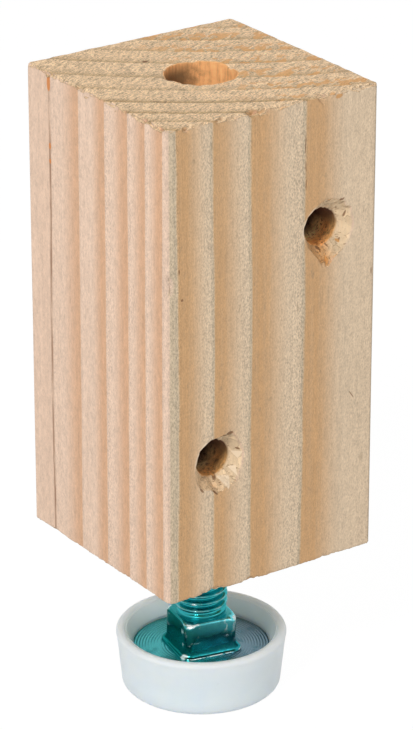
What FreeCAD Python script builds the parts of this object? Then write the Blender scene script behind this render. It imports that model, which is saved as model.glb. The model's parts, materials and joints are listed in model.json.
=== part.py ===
"""Adjustable cabinet leg: a pine block that stands on a square-neck bolt in a plastic glide.

The bolt turns in a tee nut that is driven into the block's underside, so turning it by its square
neck sets the height. The bolt's round head stands in the glide, which rests on the floor.

Frame: millimetres, +Z up, origin on the floor under the bolt's axis. The block's screw holes are
countersunk in its -Y face.
"""

import FreeCAD, Part
import math
import os

# Pine block
BLOCK_SIDE = 45.0
BLOCK_HEIGHT = 90.0
ARRIS_RADIUS = 0.8

# Fixing holes through the block, one near each end
SCREW_HOLE_DIAMETER = 7.0
SCREW_HOLE_WEB = 1.7
SCREW_HOLE_END_DISTANCE = 25.5
COUNTERSINK_DIAMETER = 11.0
COUNTERSINK_ANGLE = 90.0

# Square-neck bolt, M10
THREAD_DIAMETER = 9.9
BOLT_LENGTH = 50.0
BOLT_END_CHAMFER = 1.0
NECK_WIDTH = 10.4
NECK_HEIGHT = 7.2
NECK_CORNER_RADIUS = 1.3
NECK_TOP_RADIUS = 0.7
NECK_FLARE = 1.1
NECK_LEDGE = 0.1
NECK_PAD_HEIGHT = 0.3
NECK_TURN = -7.0
HEAD_DIAMETER = 26.4
HEAD_HEIGHT = 5.0
HEAD_EDGE_HEIGHT = 0.9

# Tee nut
THREAD_CLEARANCE = 0.07
BARREL_WALL = 1.38
BARREL_LENGTH = 11.5
BARREL_CHAMFER = 0.5
BARREL_FIT = 0.1
FLANGE_DIAMETER = 25.0
FLANGE_THICKNESS = 1.5
PRONG_COUNT = 4
PRONG_WIDTH = 4.4
PRONG_LENGTH = 7.5
PRONG_TAPER = 5.0
PRONG_TIP_WIDTH = 0.8
PRONG_INSET = 3.0
PRONG_NOTCH_GAP = 0.4

# Plastic glide
GLIDE_FLOOR = 2.4
SEAT_CLEARANCE = 0.2
SNAP_OVERLAP = 0.3
LEAD_IN = 1.5
COLLAR_HEIGHT = 3.6
RIM_WIDTH = 1.8
RIM_RADIUS = 0.6
BASE_RADIUS = 0.9
GLIDE_DRAFT = 6.0

# Height setting: bare thread between the square neck and the block
THREAD_SHOWING = 16.7

# Radii and heights that follow from the sizes above
thread_radius = THREAD_DIAMETER / 2
nut_bore_radius = thread_radius + THREAD_CLEARANCE
barrel_radius = nut_bore_radius + BARREL_WALL
block_bore_radius = barrel_radius + BARREL_FIT
screw_hole_radius = SCREW_HOLE_DIAMETER / 2
screw_hole_offset = block_bore_radius + SCREW_HOLE_WEB + screw_hole_radius
flange_radius = FLANGE_DIAMETER / 2
head_radius = HEAD_DIAMETER / 2
dome_height = HEAD_HEIGHT - HEAD_EDGE_HEIGHT
dome_radius = (head_radius ** 2 + dome_height ** 2) / (2 * dome_height)

head_bottom_z = GLIDE_FLOOR + SEAT_CLEARANCE
head_flat_z = head_bottom_z + HEAD_HEIGHT
neck_top_z = head_flat_z + NECK_HEIGHT
bolt_end_z = head_flat_z + BOLT_LENGTH
block_bottom_z = neck_top_z + THREAD_SHOWING
block_top_z = block_bottom_z + BLOCK_HEIGHT

AXIS = FreeCAD.Vector(0, 0, 1)
ORIGIN = FreeCAD.Vector(0, 0, 0)


def profile_point(radius, z):
    """Point of a turned profile, which is drawn in the XZ plane."""
    return FreeCAD.Vector(radius, 0, z)


def line(start, end):
    """Straight edge between two (radius, height) points of a turned profile."""
    return Part.LineSegment(profile_point(*start), profile_point(*end)).toShape()


def arc(start, middle, end):
    """Round edge through three (radius, height) points of a turned profile."""
    return Part.Arc(profile_point(*start), profile_point(*middle), profile_point(*end)).toShape()


def turn(edges):
    """Solid turned about the leg's axis from the closed chain of edges."""
    return Part.Face(Part.Wire(edges)).revolve(ORIGIN, AXIS, 360)


def square_prism(width, corner_radius, bottom_z, height):
    """Upright prism on the axis with a square section and rounded corners."""
    half = width / 2
    prism = Part.makeBox(width, width, height, FreeCAD.Vector(-half, -half, bottom_z))
    upright = [edge for edge in prism.Edges if edge.BoundBox.ZLength > height / 2]
    return prism.makeFillet(corner_radius, upright)


def edges_at_height(shape, z, reach):
    """Edges of a shape that lie in the plane at that height, within reach of the axis along X and Y."""
    slack = 1e-4
    found = []
    for edge in shape.Edges:
        box = edge.BoundBox
        level = abs(box.ZMin - z) < slack and abs(box.ZMax - z) < slack
        farthest = max(abs(box.XMin), abs(box.XMax), abs(box.YMin), abs(box.YMax))
        if level and farthest < reach + slack:
            found.append(edge)
    return found


def screw_hole(x, z):
    """Cutter for one countersunk fixing hole through the block along Y."""
    inward = FreeCAD.Vector(0, 1, 0)
    mouth = FreeCAD.Vector(x, -BLOCK_SIDE / 2, z)
    mouth_radius = COUNTERSINK_DIAMETER / 2
    depth = (mouth_radius - screw_hole_radius) / math.tan(math.radians(COUNTERSINK_ANGLE / 2))
    shaft = Part.makeCylinder(screw_hole_radius, BLOCK_SIDE, mouth, inward)
    cone = Part.makeCone(mouth_radius, screw_hole_radius, depth, mouth, inward)
    return shaft.fuse(cone)


def around_axis(shape):
    """One copy of a shape for each of the tee nut's prongs, set on the block's diagonals."""
    copies = []
    for number in range(PRONG_COUNT):
        copy = shape.copy()
        copy.rotate(ORIGIN, AXIS, (number + 0.5) * 360 / PRONG_COUNT)
        copies.append(copy)
    return copies


def prongs(bottom_z):
    """The tee nut's pointed prongs, from bottom_z up to their tips in the wood."""
    inner = flange_radius - PRONG_INSET - FLANGE_THICKNESS
    tip_z = block_bottom_z + PRONG_LENGTH
    shoulder_z = tip_z - PRONG_TAPER
    half = PRONG_WIDTH / 2
    tip = PRONG_TIP_WIDTH / 2
    right = [(half, bottom_z), (half, shoulder_z), (tip, tip_z)]
    left = [(-y, z) for y, z in reversed(right)]
    corners = [FreeCAD.Vector(inner, y, z) for y, z in right + left]
    outline = Part.makePolygon(corners + corners[:1])
    plate = Part.Face(outline).extrude(FreeCAD.Vector(FLANGE_THICKNESS, 0, 0))
    return around_axis(plate)


def wood_block():
    """Square pine block with eased arrises, the bolt's bore and two countersunk fixing holes."""
    block = square_prism(BLOCK_SIDE, ARRIS_RADIUS, block_bottom_z, BLOCK_HEIGHT)
    bore = Part.makeCylinder(block_bore_radius, BLOCK_HEIGHT, FreeCAD.Vector(0, 0, block_bottom_z))
    upper = screw_hole(screw_hole_offset, block_top_z - SCREW_HOLE_END_DISTANCE)
    lower = screw_hole(-screw_hole_offset, block_bottom_z + SCREW_HOLE_END_DISTANCE)
    return block.cut([bore, upper, lower] + prongs(block_bottom_z))


def tee_nut():
    """Pressed nut: a barrel in the bore, and a flange whose prongs are driven into the wood."""
    under_z = block_bottom_z - FLANGE_THICKNESS
    barrel_top_z = block_bottom_z + BARREL_LENGTH
    chamfer = min(BARREL_CHAMFER, BARREL_WALL / 2)
    corners = [
        (nut_bore_radius, under_z),
        (flange_radius, under_z),
        (flange_radius, block_bottom_z),
        (barrel_radius, block_bottom_z),
        (barrel_radius, barrel_top_z - chamfer),
        (barrel_radius - chamfer, barrel_top_z),
        (nut_bore_radius, barrel_top_z),
    ]
    nut = turn([line(a, b) for a, b in zip(corners, corners[1:] + corners[:1])])
    notch_width = PRONG_WIDTH + 2 * PRONG_NOTCH_GAP
    notch_corner = FreeCAD.Vector(flange_radius - PRONG_INSET, -notch_width / 2, under_z)
    notch = Part.makeBox(flange_radius, notch_width, FLANGE_THICKNESS, notch_corner)
    return nut.cut(around_axis(notch)).fuse(prongs(under_z)).removeSplitter()


def bolt_head():
    """Round head with its flat side up and its dome down."""
    edge_z = head_flat_z - HEAD_EDGE_HEIGHT
    middle_radius = head_radius / 2
    middle_z = head_bottom_z + dome_radius - math.sqrt(dome_radius ** 2 - middle_radius ** 2)
    return turn([
        arc((0, head_bottom_z), (middle_radius, middle_z), (head_radius, edge_z)),
        line((head_radius, edge_z), (head_radius, head_flat_z)),
        line((head_radius, head_flat_z), (0, head_flat_z)),
        line((0, head_flat_z), (0, head_bottom_z)),
    ])


def bolt_neck():
    """Square neck that flares out to a low pad on the head, turned as the height setting leaves it."""
    pad_width = NECK_WIDTH + 2 * NECK_FLARE
    pad_top_z = head_flat_z + NECK_PAD_HEIGHT
    pad = square_prism(pad_width, NECK_CORNER_RADIUS + NECK_FLARE, head_flat_z, NECK_PAD_HEIGHT)
    shaft = square_prism(NECK_WIDTH, NECK_CORNER_RADIUS, head_flat_z, NECK_HEIGHT)
    top_radius = min(NECK_TOP_RADIUS, NECK_CORNER_RADIUS * 0.9)
    shaft = shaft.makeFillet(top_radius, edges_at_height(shaft, neck_top_z, NECK_WIDTH / 2))
    neck = pad.fuse(shaft).removeSplitter()
    neck = neck.makeFillet(NECK_FLARE - NECK_LEDGE, edges_at_height(neck, pad_top_z, NECK_WIDTH / 2))
    neck.rotate(ORIGIN, AXIS, NECK_TURN)
    return neck


def bolt_shank():
    """Threaded shank at its full diameter, with a chamfered end."""
    chamfer_z = bolt_end_z - BOLT_END_CHAMFER
    end_radius = thread_radius - BOLT_END_CHAMFER
    return turn([
        line((0, head_flat_z), (thread_radius, head_flat_z)),
        line((thread_radius, head_flat_z), (thread_radius, chamfer_z)),
        line((thread_radius, chamfer_z), (end_radius, bolt_end_z)),
        line((end_radius, bolt_end_z), (0, bolt_end_z)),
        line((0, bolt_end_z), (0, head_flat_z)),
    ])


def levelling_bolt():
    """Bolt that stands on its round head."""
    return bolt_head().fuse([bolt_neck(), bolt_shank()]).removeSplitter()


def glide_cup():
    """Moulded glide: a drafted cup whose undercut snaps over the bolt's head."""
    pocket_radius = head_radius + SEAT_CLEARANCE
    pocket_top_z = head_flat_z + SEAT_CLEARANCE
    lip_radius = head_radius - SNAP_OVERLAP
    rim_inner = lip_radius + LEAD_IN
    rim_outer = rim_inner + RIM_WIDTH
    rim_z = pocket_top_z + COLLAR_HEIGHT
    base_outer = rim_outer - rim_z * math.tan(math.radians(GLIDE_DRAFT))

    seat_radius = dome_radius + SEAT_CLEARANCE

    def seat(radius):
        """Point of the seat's hollow dome at that radius, one clearance away from the head's dome."""
        return radius, head_bottom_z + dome_radius - math.sqrt(seat_radius ** 2 - radius ** 2)

    corners = [
        (0, 0),
        (base_outer, 0),
        (rim_outer, rim_z),
        (rim_inner, rim_z),
        (lip_radius, pocket_top_z),
        (pocket_radius, pocket_top_z),
        seat(pocket_radius),
    ]
    edges = [line(a, b) for a, b in zip(corners, corners[1:])]
    edges.append(arc(seat(pocket_radius), seat(pocket_radius / 2), seat(0)))
    edges.append(line(seat(0), (0, 0)))
    cup = turn(edges)
    cup = cup.makeFillet(BASE_RADIUS, edges_at_height(cup, 0, base_outer))
    rim_radius = min(RIM_RADIUS, RIM_WIDTH * 0.45)
    return cup.makeFillet(rim_radius, edges_at_height(cup, rim_z, rim_outer))


PIECES = {
    "wood_block": wood_block,
    "tee_nut": tee_nut,
    "levelling_bolt": levelling_bolt,
    "glide_cup": glide_cup,
}


def main():
    """Builds every piece and writes it to parts/ under its own name."""
    os.makedirs("parts", exist_ok=True)
    for name, build in PIECES.items():
        build().exportStep(os.path.join("parts", name + ".step"))


main()
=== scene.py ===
"""Dressed scene of an adjustable cabinet leg: a pine block that stands on a levelling bolt and its glide.

Sizes and depths are in millimetres unless a docstring says metres, as the frame and the lamps are.
"""

import json
import logging
import math
from collections.abc import Callable, Sequence
from dataclasses import dataclass
from enum import Enum
from typing import Any, ClassVar

import bmesh
import bpy
import numpy as np
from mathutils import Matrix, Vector, noise

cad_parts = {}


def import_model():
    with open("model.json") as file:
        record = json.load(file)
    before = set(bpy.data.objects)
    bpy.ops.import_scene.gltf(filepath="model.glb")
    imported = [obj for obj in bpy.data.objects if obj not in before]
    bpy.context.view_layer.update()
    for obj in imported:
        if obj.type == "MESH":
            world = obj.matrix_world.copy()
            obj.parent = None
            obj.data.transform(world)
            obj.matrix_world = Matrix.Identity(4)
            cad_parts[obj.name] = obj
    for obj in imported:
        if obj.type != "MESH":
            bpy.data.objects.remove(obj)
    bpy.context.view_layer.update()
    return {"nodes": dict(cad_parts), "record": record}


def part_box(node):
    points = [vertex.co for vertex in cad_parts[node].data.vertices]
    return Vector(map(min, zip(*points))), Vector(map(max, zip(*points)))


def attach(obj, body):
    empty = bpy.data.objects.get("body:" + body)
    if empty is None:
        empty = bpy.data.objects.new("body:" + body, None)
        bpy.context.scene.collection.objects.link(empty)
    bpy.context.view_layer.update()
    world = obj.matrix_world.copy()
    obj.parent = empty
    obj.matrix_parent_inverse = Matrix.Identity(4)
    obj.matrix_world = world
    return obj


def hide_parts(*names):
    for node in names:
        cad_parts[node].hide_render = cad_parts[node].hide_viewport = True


LOG = logging.getLogger("cabinet_leg")
MM = 0.001
FULL_TURN = 2.0 * math.pi
PHOTO_HEIGHT_PX = 730
SENSOR_MM = 36.0
SHARP_ANGLE = math.radians(50.0)
QUARTER_TURN = math.pi / 2
TOUCH = 1e-6
NOISE_MIDDLE = 0.5
NECK_SIDES = 4.0

Colour = tuple[float, float, float]
Triple = tuple[float, float, float]
Span = tuple[float, float]


class RingEnds(Enum):
    """How a stack of rings closes."""

    POLES = "a point closes each end"
    LOOP = "the last ring joins the first"


class Side(Enum):
    """A face of the block that a screw hole opens in, as the sign of its Y."""

    FRONT = -1.0
    BACK = 1.0


class TopEdge(Enum):
    """An edge of the block's top, as the axes that run along it and across it."""

    FRONT = (0, 1)
    LEFT = (1, 0)


class MarkTone(Enum):
    """Tone of a small mark on the front face."""

    DARK = "a crack, a scratch or a notch"
    CREAM = "a fresh flake"
    TORN = "torn fibres"


# Shader graphs


class Field:
    """A node's output that takes part in Python expressions."""

    def __init__(self, graph: "NodeGraph", socket: bpy.types.NodeSocket) -> None:
        """Wrap one output socket of a graph."""
        self.graph = graph
        self.socket = socket

    def __add__(self, other: "Value") -> "Field":
        """Sum of two values."""
        return self.graph.math("ADD", self, other)

    def __radd__(self, other: "Value") -> "Field":
        """Sum of a number and a value."""
        return self.graph.math("ADD", other, self)

    def __sub__(self, other: "Value") -> "Field":
        """Difference of two values."""
        return self.graph.math("SUBTRACT", self, other)

    def __rsub__(self, other: "Value") -> "Field":
        """A number less a value."""
        return self.graph.math("SUBTRACT", other, self)

    def __mul__(self, other: "Value") -> "Field":
        """Product of two values."""
        return self.graph.math("MULTIPLY", self, other)

    def __rmul__(self, other: "Value") -> "Field":
        """Product of a number and a value."""
        return self.graph.math("MULTIPLY", other, self)

    def __truediv__(self, other: "Value") -> "Field":
        """Quotient of two values."""
        return self.graph.math("DIVIDE", self, other)

    def __pow__(self, other: "Value") -> "Field":
        """Power of a value."""
        return self.graph.math("POWER", self, other)

    def __abs__(self) -> "Field":
        """Size of a value without its sign."""
        return self.graph.math("ABSOLUTE", self)

    def least(self, other: "Value") -> "Field":
        """Smaller of two values."""
        return self.graph.math("MINIMUM", self, other)

    def most(self, other: "Value") -> "Field":
        """Larger of two values."""
        return self.graph.math("MAXIMUM", self, other)

    def rise(self, low: float, high: float) -> "Field":
        """Ease from 0 at low to 1 at high."""
        sockets = {"Value": self, "From Min": low, "From Max": high, "To Min": 0.0, "To Max": 1.0}
        return self.graph.node("ShaderNodeMapRange", {"interpolation_type": "SMOOTHSTEP"}, sockets)

    def fall(self, low: float, high: float) -> "Field":
        """Ease from 1 at low to 0 at high."""
        return 1.0 - self.rise(low, high)

    def swing(self) -> "Field":
        """Noise counted from its middle, so that it goes both ways."""
        return self - NOISE_MIDDLE

    @staticmethod
    def blend(low: "Field | Colour", high: "Field | Colour", factor: "Field") -> "Field":
        """Mix two colours, of which the factor is the second one's share."""
        return factor.graph.node("ShaderNodeMix", {"data_type": "RGBA"}, {0: factor, 6: low, 7: high}, 2)

    @staticmethod
    def shaded(colour: "Field | Colour", level: "Field") -> "Field":
        """Make a colour darker or lighter.

        Args:
            colour: Colour to shade.
            level: Factor that it is multiplied by.

        Returns:
            The shaded colour.
        """
        grey = level.graph.node("ShaderNodeCombineXYZ", None, {0: level, 1: level, 2: level})
        settings = {"data_type": "RGBA", "blend_type": "MULTIPLY"}
        return level.graph.node("ShaderNodeMix", settings, {0: 1.0, 6: colour, 7: grey}, 2)

    def vector(self, operation: str, other: Triple) -> "Field":
        """Add a Vector Math node on this vector and a constant one."""
        return self.graph.node("ShaderNodeVectorMath", {"operation": operation}, {0: self, 1: other})

    def length(self) -> "Field":
        """Length of a vector."""
        return self.graph.node("ShaderNodeVectorMath", {"operation": "LENGTH"}, {0: self}, "Value")

    def split(self) -> list["Field"]:
        """The x, y and z of a vector."""
        return [self.graph.node("ShaderNodeSeparateXYZ", None, {0: self}, axis) for axis in range(3)]

    def rotated(self, axis: str, degrees: float) -> "Field":
        """Turn a vector about X_AXIS, Y_AXIS or Z_AXIS."""
        sockets = {"Vector": self, "Angle": math.radians(degrees)}
        return self.graph.node("ShaderNodeVectorRotate", {"rotation_type": axis}, sockets)

    def flakes(self, cells: Triple, feature: str, output: str) -> "Field":
        """Measure straight-sided flakes at this place, so many per millimetre along x, y and z."""
        sockets = {"Vector": self.vector("MULTIPLY", cells), "Scale": 1.0}
        return self.graph.node("ShaderNodeTexVoronoi", {"feature": feature}, sockets, output)

    def bump(self, depth_mm: float) -> "Field":
        """Surface direction of this relief, so many millimetres deep."""
        sockets = {"Strength": 1.0, "Distance": depth_mm * MM, "Height": self}
        return self.graph.node("ShaderNodeBump", None, sockets)


Value = Field | float


class NodeGraph:
    """The node tree of one material or of the world."""

    def __init__(self, owner: bpy.types.Material | bpy.types.World) -> None:
        """Empty the owner's node tree and take it over.

        Args:
            owner: Material or world that the nodes are for.
        """
        owner.use_nodes = True
        self.tree = owner.node_tree
        self.tree.nodes.clear()
        is_world = isinstance(owner, bpy.types.World)
        self.output = "ShaderNodeOutputWorld" if is_world else "ShaderNodeOutputMaterial"

    def node(self, kind: str, settings: dict[str, Any] | None = None,
             sockets: dict[str | int, Any] | None = None, output: str | int | None = 0) -> Field | None:
        """Add a node.

        Args:
            kind: Blender's name of the node's type.
            settings: Properties to set first; "stops" are a ramp's places and colours.
            sockets: Values or links of its inputs, by name or number.
            output: Name or number of the output to give back, or none for the last node.

        Returns:
            The chosen output.
        """
        node = self.tree.nodes.new(kind)
        for name, value in (settings or {}).items():
            if name == "stops":
                self._set_stops(node.color_ramp, value)
            else:
                setattr(node, name, value)
        for key, value in (sockets or {}).items():
            self._feed(node.inputs[key], value)
        return None if output is None else Field(self, node.outputs[output])

    def _set_stops(self, ramp: bpy.types.ColorRamp, stops: Sequence[Span]) -> None:
        """Give a ramp its grey stops.

        Args:
            ramp: Ramp to set.
            stops: Place and level of each stop.
        """
        while len(ramp.elements) < len(stops):
            ramp.elements.new(1.0)
        ramp.interpolation = "LINEAR"
        for element, (place, level) in zip(ramp.elements, stops):
            element.position = place
            element.color = (level, level, level, 1.0)

    def _feed(self, socket: bpy.types.NodeSocket, value: Any) -> None:
        """Link a socket to a field, or give it a plain value.

        Args:
            socket: Input to feed.
            value: Field, number, colour or vector.
        """
        if isinstance(value, Field):
            self.tree.links.new(value.socket, socket)
        elif socket.type == "RGBA":
            socket.default_value = (*value, 1.0)
        else:
            socket.default_value = value

    def math(self, operation: str, *values: Value) -> Field:
        """Add a Math node on values."""
        return self.node("ShaderNodeMath", {"operation": operation}, dict(enumerate(values)))

    def spot(self) -> Field:
        """Place on the piece in millimetres."""
        place = self.node("ShaderNodeTexCoord", output="Object")
        return place.vector("MULTIPLY", (1.0 / MM, 1.0 / MM, 1.0 / MM))

    def facing(self) -> Field:
        """Direction that the piece's surface faces, in its own frame."""
        return self.node("ShaderNodeTexCoord", output="Normal")

    def surface(self, shader: Field) -> None:
        """Make a shader the surface of the material or world."""
        self.node(self.output, None, {"Surface": shader}, None)


@dataclass(frozen=True)
class Texture:
    """A noise texture: cells per millimetre along x, y and z, finer layers and the strength of each."""

    cells: Triple
    layers: float = 2.0
    strength: float = 0.5

    def on(self, spot: Field) -> Field:
        """Add the texture.

        Args:
            spot: Place in millimetres.

        Returns:
            Noise from 0 to 1.
        """
        scaled = spot.vector("MULTIPLY", self.cells)
        sockets = {"Vector": scaled, "Scale": 1.0, "Detail": self.layers, "Roughness": self.strength}
        return spot.graph.node("ShaderNodeTexNoise", None, sockets)


class Finish:
    """A procedural finish: its name, and the sockets of its shader, which a subclass works out."""

    name: ClassVar[str]

    def material(self) -> bpy.types.Material:
        """Make the finish's material.

        Returns:
            The material, with its nodes in place.
        """
        material = bpy.data.materials.new(self.name)
        graph = NodeGraph(material)
        graph.surface(graph.node("ShaderNodeBsdfPrincipled", None, self.sockets(graph)))
        LOG.info("finish %s", material.name)
        return material

    def sockets(self, graph: NodeGraph) -> dict[str, Any]:
        """Values and links of the shader, by socket."""
        raise NotImplementedError


# Mesh helpers


@dataclass(frozen=True)
class MeshNoise:
    """Perlin noise for mesh points: cells per millimetre along x, y and z, and a seed that shifts them."""

    cells: Triple
    seed: float

    def at(self, points: np.ndarray) -> np.ndarray:
        """Noise at each point of an array.

        Args:
            points: Array whose last axis holds x, y and z.

        Returns:
            Values from about -1 to 1, one for each point.
        """
        places = (points.reshape(-1, 3) * np.asarray(self.cells) + self.seed).tolist()
        values = [noise.noise(place) for place in places]
        return np.array(values).reshape(points.shape[:-1])


def graded(start: float, end: float, step_at: Callable[[float], float]) -> np.ndarray:
    """Places from start to end whose spacing follows a function of place.

    Args:
        start: First place.
        end: Last place, above or below the first.
        step_at: Spacing that is wanted at a place.

    Returns:
        The places, both ends among them.
    """
    direction = math.copysign(1.0, end - start)
    places = [start]
    while (end - places[-1]) * direction > TOUCH:
        places.append(places[-1] + direction * step_at(places[-1]))
    stretch = (end - start) / (places[-1] - start)
    return start + (np.array(places) - start) * stretch


def even(start: float, end: float, step: float) -> np.ndarray:
    """Evenly spaced places from start to end, no further apart than a step."""
    return np.linspace(start, end, max(2, math.ceil(abs(end - start) / step) + 1))


def eased(share: np.ndarray) -> np.ndarray:
    """Shares from 0 to 1, eased at both ends."""
    return share * share * (3.0 - 2.0 * share)


def arc(centre: Span, radii: Span, start: float, end: float, count: int) -> list[Span]:
    """Points of an elliptical arc in a profile.

    Args:
        centre: Centre's radius and height.
        radii: Half axes along radius and height.
        start: First angle in degrees.
        end: Last angle in degrees.
        count: Number of points.

    Returns:
        Radius and height of each point.
    """
    angles = np.radians(np.linspace(start, end, count))
    across = centre[0] + radii[0] * np.cos(angles)
    height = centre[1] + radii[1] * np.sin(angles)
    return list(zip(across.tolist(), height.tolist()))


class RingSkin:
    """Rings that have the same number of points, joined into one closed skin of quads."""

    def __init__(self, ends: RingEnds) -> None:
        """Start an empty skin that closes in the given way."""
        self.ends = ends
        self.rings: list[np.ndarray] = []

    def add(self, across: np.ndarray, along: np.ndarray, height: np.ndarray | float) -> None:
        """Add one ring from its x, y and z in millimetres."""
        self.rings.append(np.stack([across, along, np.broadcast_to(height, across.shape)], axis=-1))

    def add_polar(self, angles: np.ndarray, radius: np.ndarray | float, height: np.ndarray | float) -> None:
        """Add one ring round the axis from its radius and height in millimetres."""
        self.add(radius * np.cos(angles), radius * np.sin(angles), height)

    def points(self) -> np.ndarray:
        """All points as an array of rings by places round the ring by x, y and z."""
        return np.stack(self.rings)

    def mesh(self, name: str, points: np.ndarray) -> bpy.types.Mesh:
        """Make the mesh.

        Args:
            name: Name of the mesh.
            points: The rings' points in millimetres, moved or as they were added.

        Returns:
            A closed mesh in metres whose faces look outwards.
        """
        rows, count = points.shape[:2]
        here = np.arange(count)
        after = (here + 1) % count
        last = rows if self.ends is RingEnds.LOOP else rows - 1
        faces: list[Sequence[int]] = []
        for row in range(last):
            low, high = row * count, ((row + 1) % rows) * count
            faces.extend(np.stack([low + here, low + after, high + after, high + here], axis=1).tolist())
        vertices = points.reshape(-1, 3).tolist()
        if self.ends is RingEnds.POLES:
            for row in (0, rows - 1):
                vertices.append(points[row].mean(axis=0).tolist())
                pole = len(vertices) - 1
                faces.extend([pole, row * count + a, row * count + b] for a, b in zip(here, after))
        mesh = bpy.data.meshes.new(name)
        mesh.from_pydata([Vector(vertex) * MM for vertex in vertices], [], faces)
        face_outwards(mesh)
        return mesh


def face_outwards(mesh: bpy.types.Mesh) -> None:
    """Turn all faces of a closed mesh outwards.

    Args:
        mesh: Mesh to change.
    """
    work = bmesh.new()
    work.from_mesh(mesh)
    bmesh.ops.recalc_face_normals(work, faces=work.faces)
    work.to_mesh(mesh)
    work.free()


def add_piece(name: str, mesh: bpy.types.Mesh, body: str, node: str,
              material: bpy.types.Material) -> bpy.types.Object:
    """Put a mesh in the scene as a piece that rides on a body and stands for a CAD node.

    Args:
        name: Name of the piece.
        mesh: Its mesh.
        body: Body that it rides on.
        node: CAD node that it stands for.
        material: Its finish.

    Returns:
        The piece.
    """
    piece = bpy.data.objects.new(name, mesh)
    bpy.context.scene.collection.objects.link(piece)
    mesh.shade_smooth()
    mesh.set_sharp_from_angle(angle=SHARP_ANGLE)
    mesh.materials.append(material)
    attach(piece, body)
    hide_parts(node)
    LOG.info("%s: %d faces", name, len(mesh.polygons))
    return piece


def box_mm(node: str) -> tuple[np.ndarray, np.ndarray]:
    """Lowest and highest corner of a CAD node in millimetres."""
    low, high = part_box(node)
    return np.array(low) / MM, np.array(high) / MM


# Finish of the pine block

CRACK: Colour = (0.20, 0.09, 0.035)
CREAM: Colour = (0.90, 0.72, 0.52)
TORN: Colour = (0.60, 0.285, 0.085)
# painted shade for the far depths of the screw holes and the bore
DEEP_SHADE: Colour = (0.135, 0.056, 0.040)
FLAKE_SLOPE: Span = (0.87, 0.5)
FLAKE_EDGE: Span = (0.70, 0.85)
MARK_EDGE: Span = (0.4, 1.0)


@dataclass(frozen=True)
class Grain:
    """The rings at each place: depth behind the front arris, dark and soft wood, share of the left face."""

    depth: Field
    dark: Field
    soft: Field
    left: Field


@dataclass(frozen=True)
class Ring:
    """One annual ring.

    Its edge is the depth of its dark line, dark and soft are the strengths of its two kinds of wood, and
    fade is the share of the ring that the dark wood fades over.
    """

    edge: float
    dark: float
    soft: float
    fade: float = 0.74


@dataclass(frozen=True)
class RingPattern:
    """Annual rings of the pine: where the pith lies, and the rings by their depth behind the front arris."""

    pith: Span = (66.1, 98.6)
    pith_distance: float = 150.0
    rings: tuple[Ring, ...] = (
        Ring(1.25, 0.96, 0.7, 0.92), Ring(5.45, 0.88, 0.7, 0.92), Ring(9.65, 1.00, 0.9, 0.78),
        Ring(15.25, 1.00, 0.2, 0.62), Ring(21.6, 0.85, 0.4), Ring(28.3, 0.90, 0.4), Ring(36.2, 0.90, 0.7),
        Ring(43.0, 0.80, 0.8), Ring(49.5, 0.90, 0.8), Ring(56.5, 0.80, 0.8),
    )
    span: float = 64.0
    edge_width: float = 0.10
    soft_start: float = 0.5
    corner_soft: float = 0.5
    wander: Texture = Texture((0.03, 0.03, 0.016), 1.0)
    wander_width: float = 0.9
    feather: Texture = Texture((1.2, 1.2, 0.09), 3.0, 0.6)
    feather_width: float = 0.3
    left_shift: float = 0.4

    def _ends(self) -> list[float]:
        """Depth where each ring ends."""
        return [ring.edge for ring in self.rings[1:]] + [self.span]

    def dark_stops(self) -> list[Span]:
        """Ramp of the dark wood.

        Returns:
            Place along the span and level of each stop.
        """
        stops = []
        for ring, end in zip(self.rings, self._ends()):
            stops.append(((ring.edge - self.edge_width) / self.span, 0.0))
            stops.append((ring.edge / self.span, ring.dark))
            stops.append(((ring.edge + ring.fade * (end - ring.edge)) / self.span, 0.0))
        return stops

    def soft_stops(self) -> list[Span]:
        """Ramp of the soft, fuzzy wood.

        Returns:
            Place along the span and level of each stop.
        """
        first = self.rings[0].edge
        stops = [(first / self.span, self.corner_soft), ((first + self.edge_width) / self.span, 0.0)]
        for ring, end in zip(self.rings, self._ends()):
            stops.append(((ring.edge + self.soft_start * (end - ring.edge)) / self.span, 0.0))
            stops.append(((end - self.edge_width) / self.span, ring.soft))
            stops.append((end / self.span, 0.0))
        return stops

    def dark(self, points: np.ndarray) -> np.ndarray:
        """Share of dark wood at mesh points.

        Args:
            points: Array whose last axis holds x, y and z.

        Returns:
            Shares from 0 to 1, one for each point.
        """
        radius = np.hypot(points[..., 0] - self.pith[0], points[..., 1] - self.pith[1])
        places, levels = zip(*self.dark_stops())
        return np.interp((self.pith_distance - radius) / self.span, places, levels)

    def level(self, stops: list[Span], depth: Field) -> Field:
        """Level of a ramp at a depth; the product turns the ramp's grey into a value."""
        return depth.graph.node("ShaderNodeValToRGB", {"stops": stops}, {0: depth / self.span}) * 1.0

    def grain(self, spot: Field, left: Field) -> Grain:
        """Rings in a material, with their slow wander up the block.

        Args:
            spot: Place in millimetres.
            left: Share of the left face.

        Returns:
            The rings at each place.
        """
        flat = spot.vector("MULTIPLY", (1.0, 1.0, 0.0))
        radius = flat.vector("SUBTRACT", (*self.pith, 0.0)).length()
        wander = self.wander.on(spot).swing() * self.wander_width
        feather = self.feather.on(spot).swing() * self.feather_width
        depth = self.pith_distance - radius + wander + feather
        depth = depth - left * depth.fall(14.0, 22.0) * self.left_shift
        dark = self.level(self.dark_stops(), depth)
        soft = self.level(self.soft_stops(), depth)
        return Grain(depth, dark, soft, left)


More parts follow.
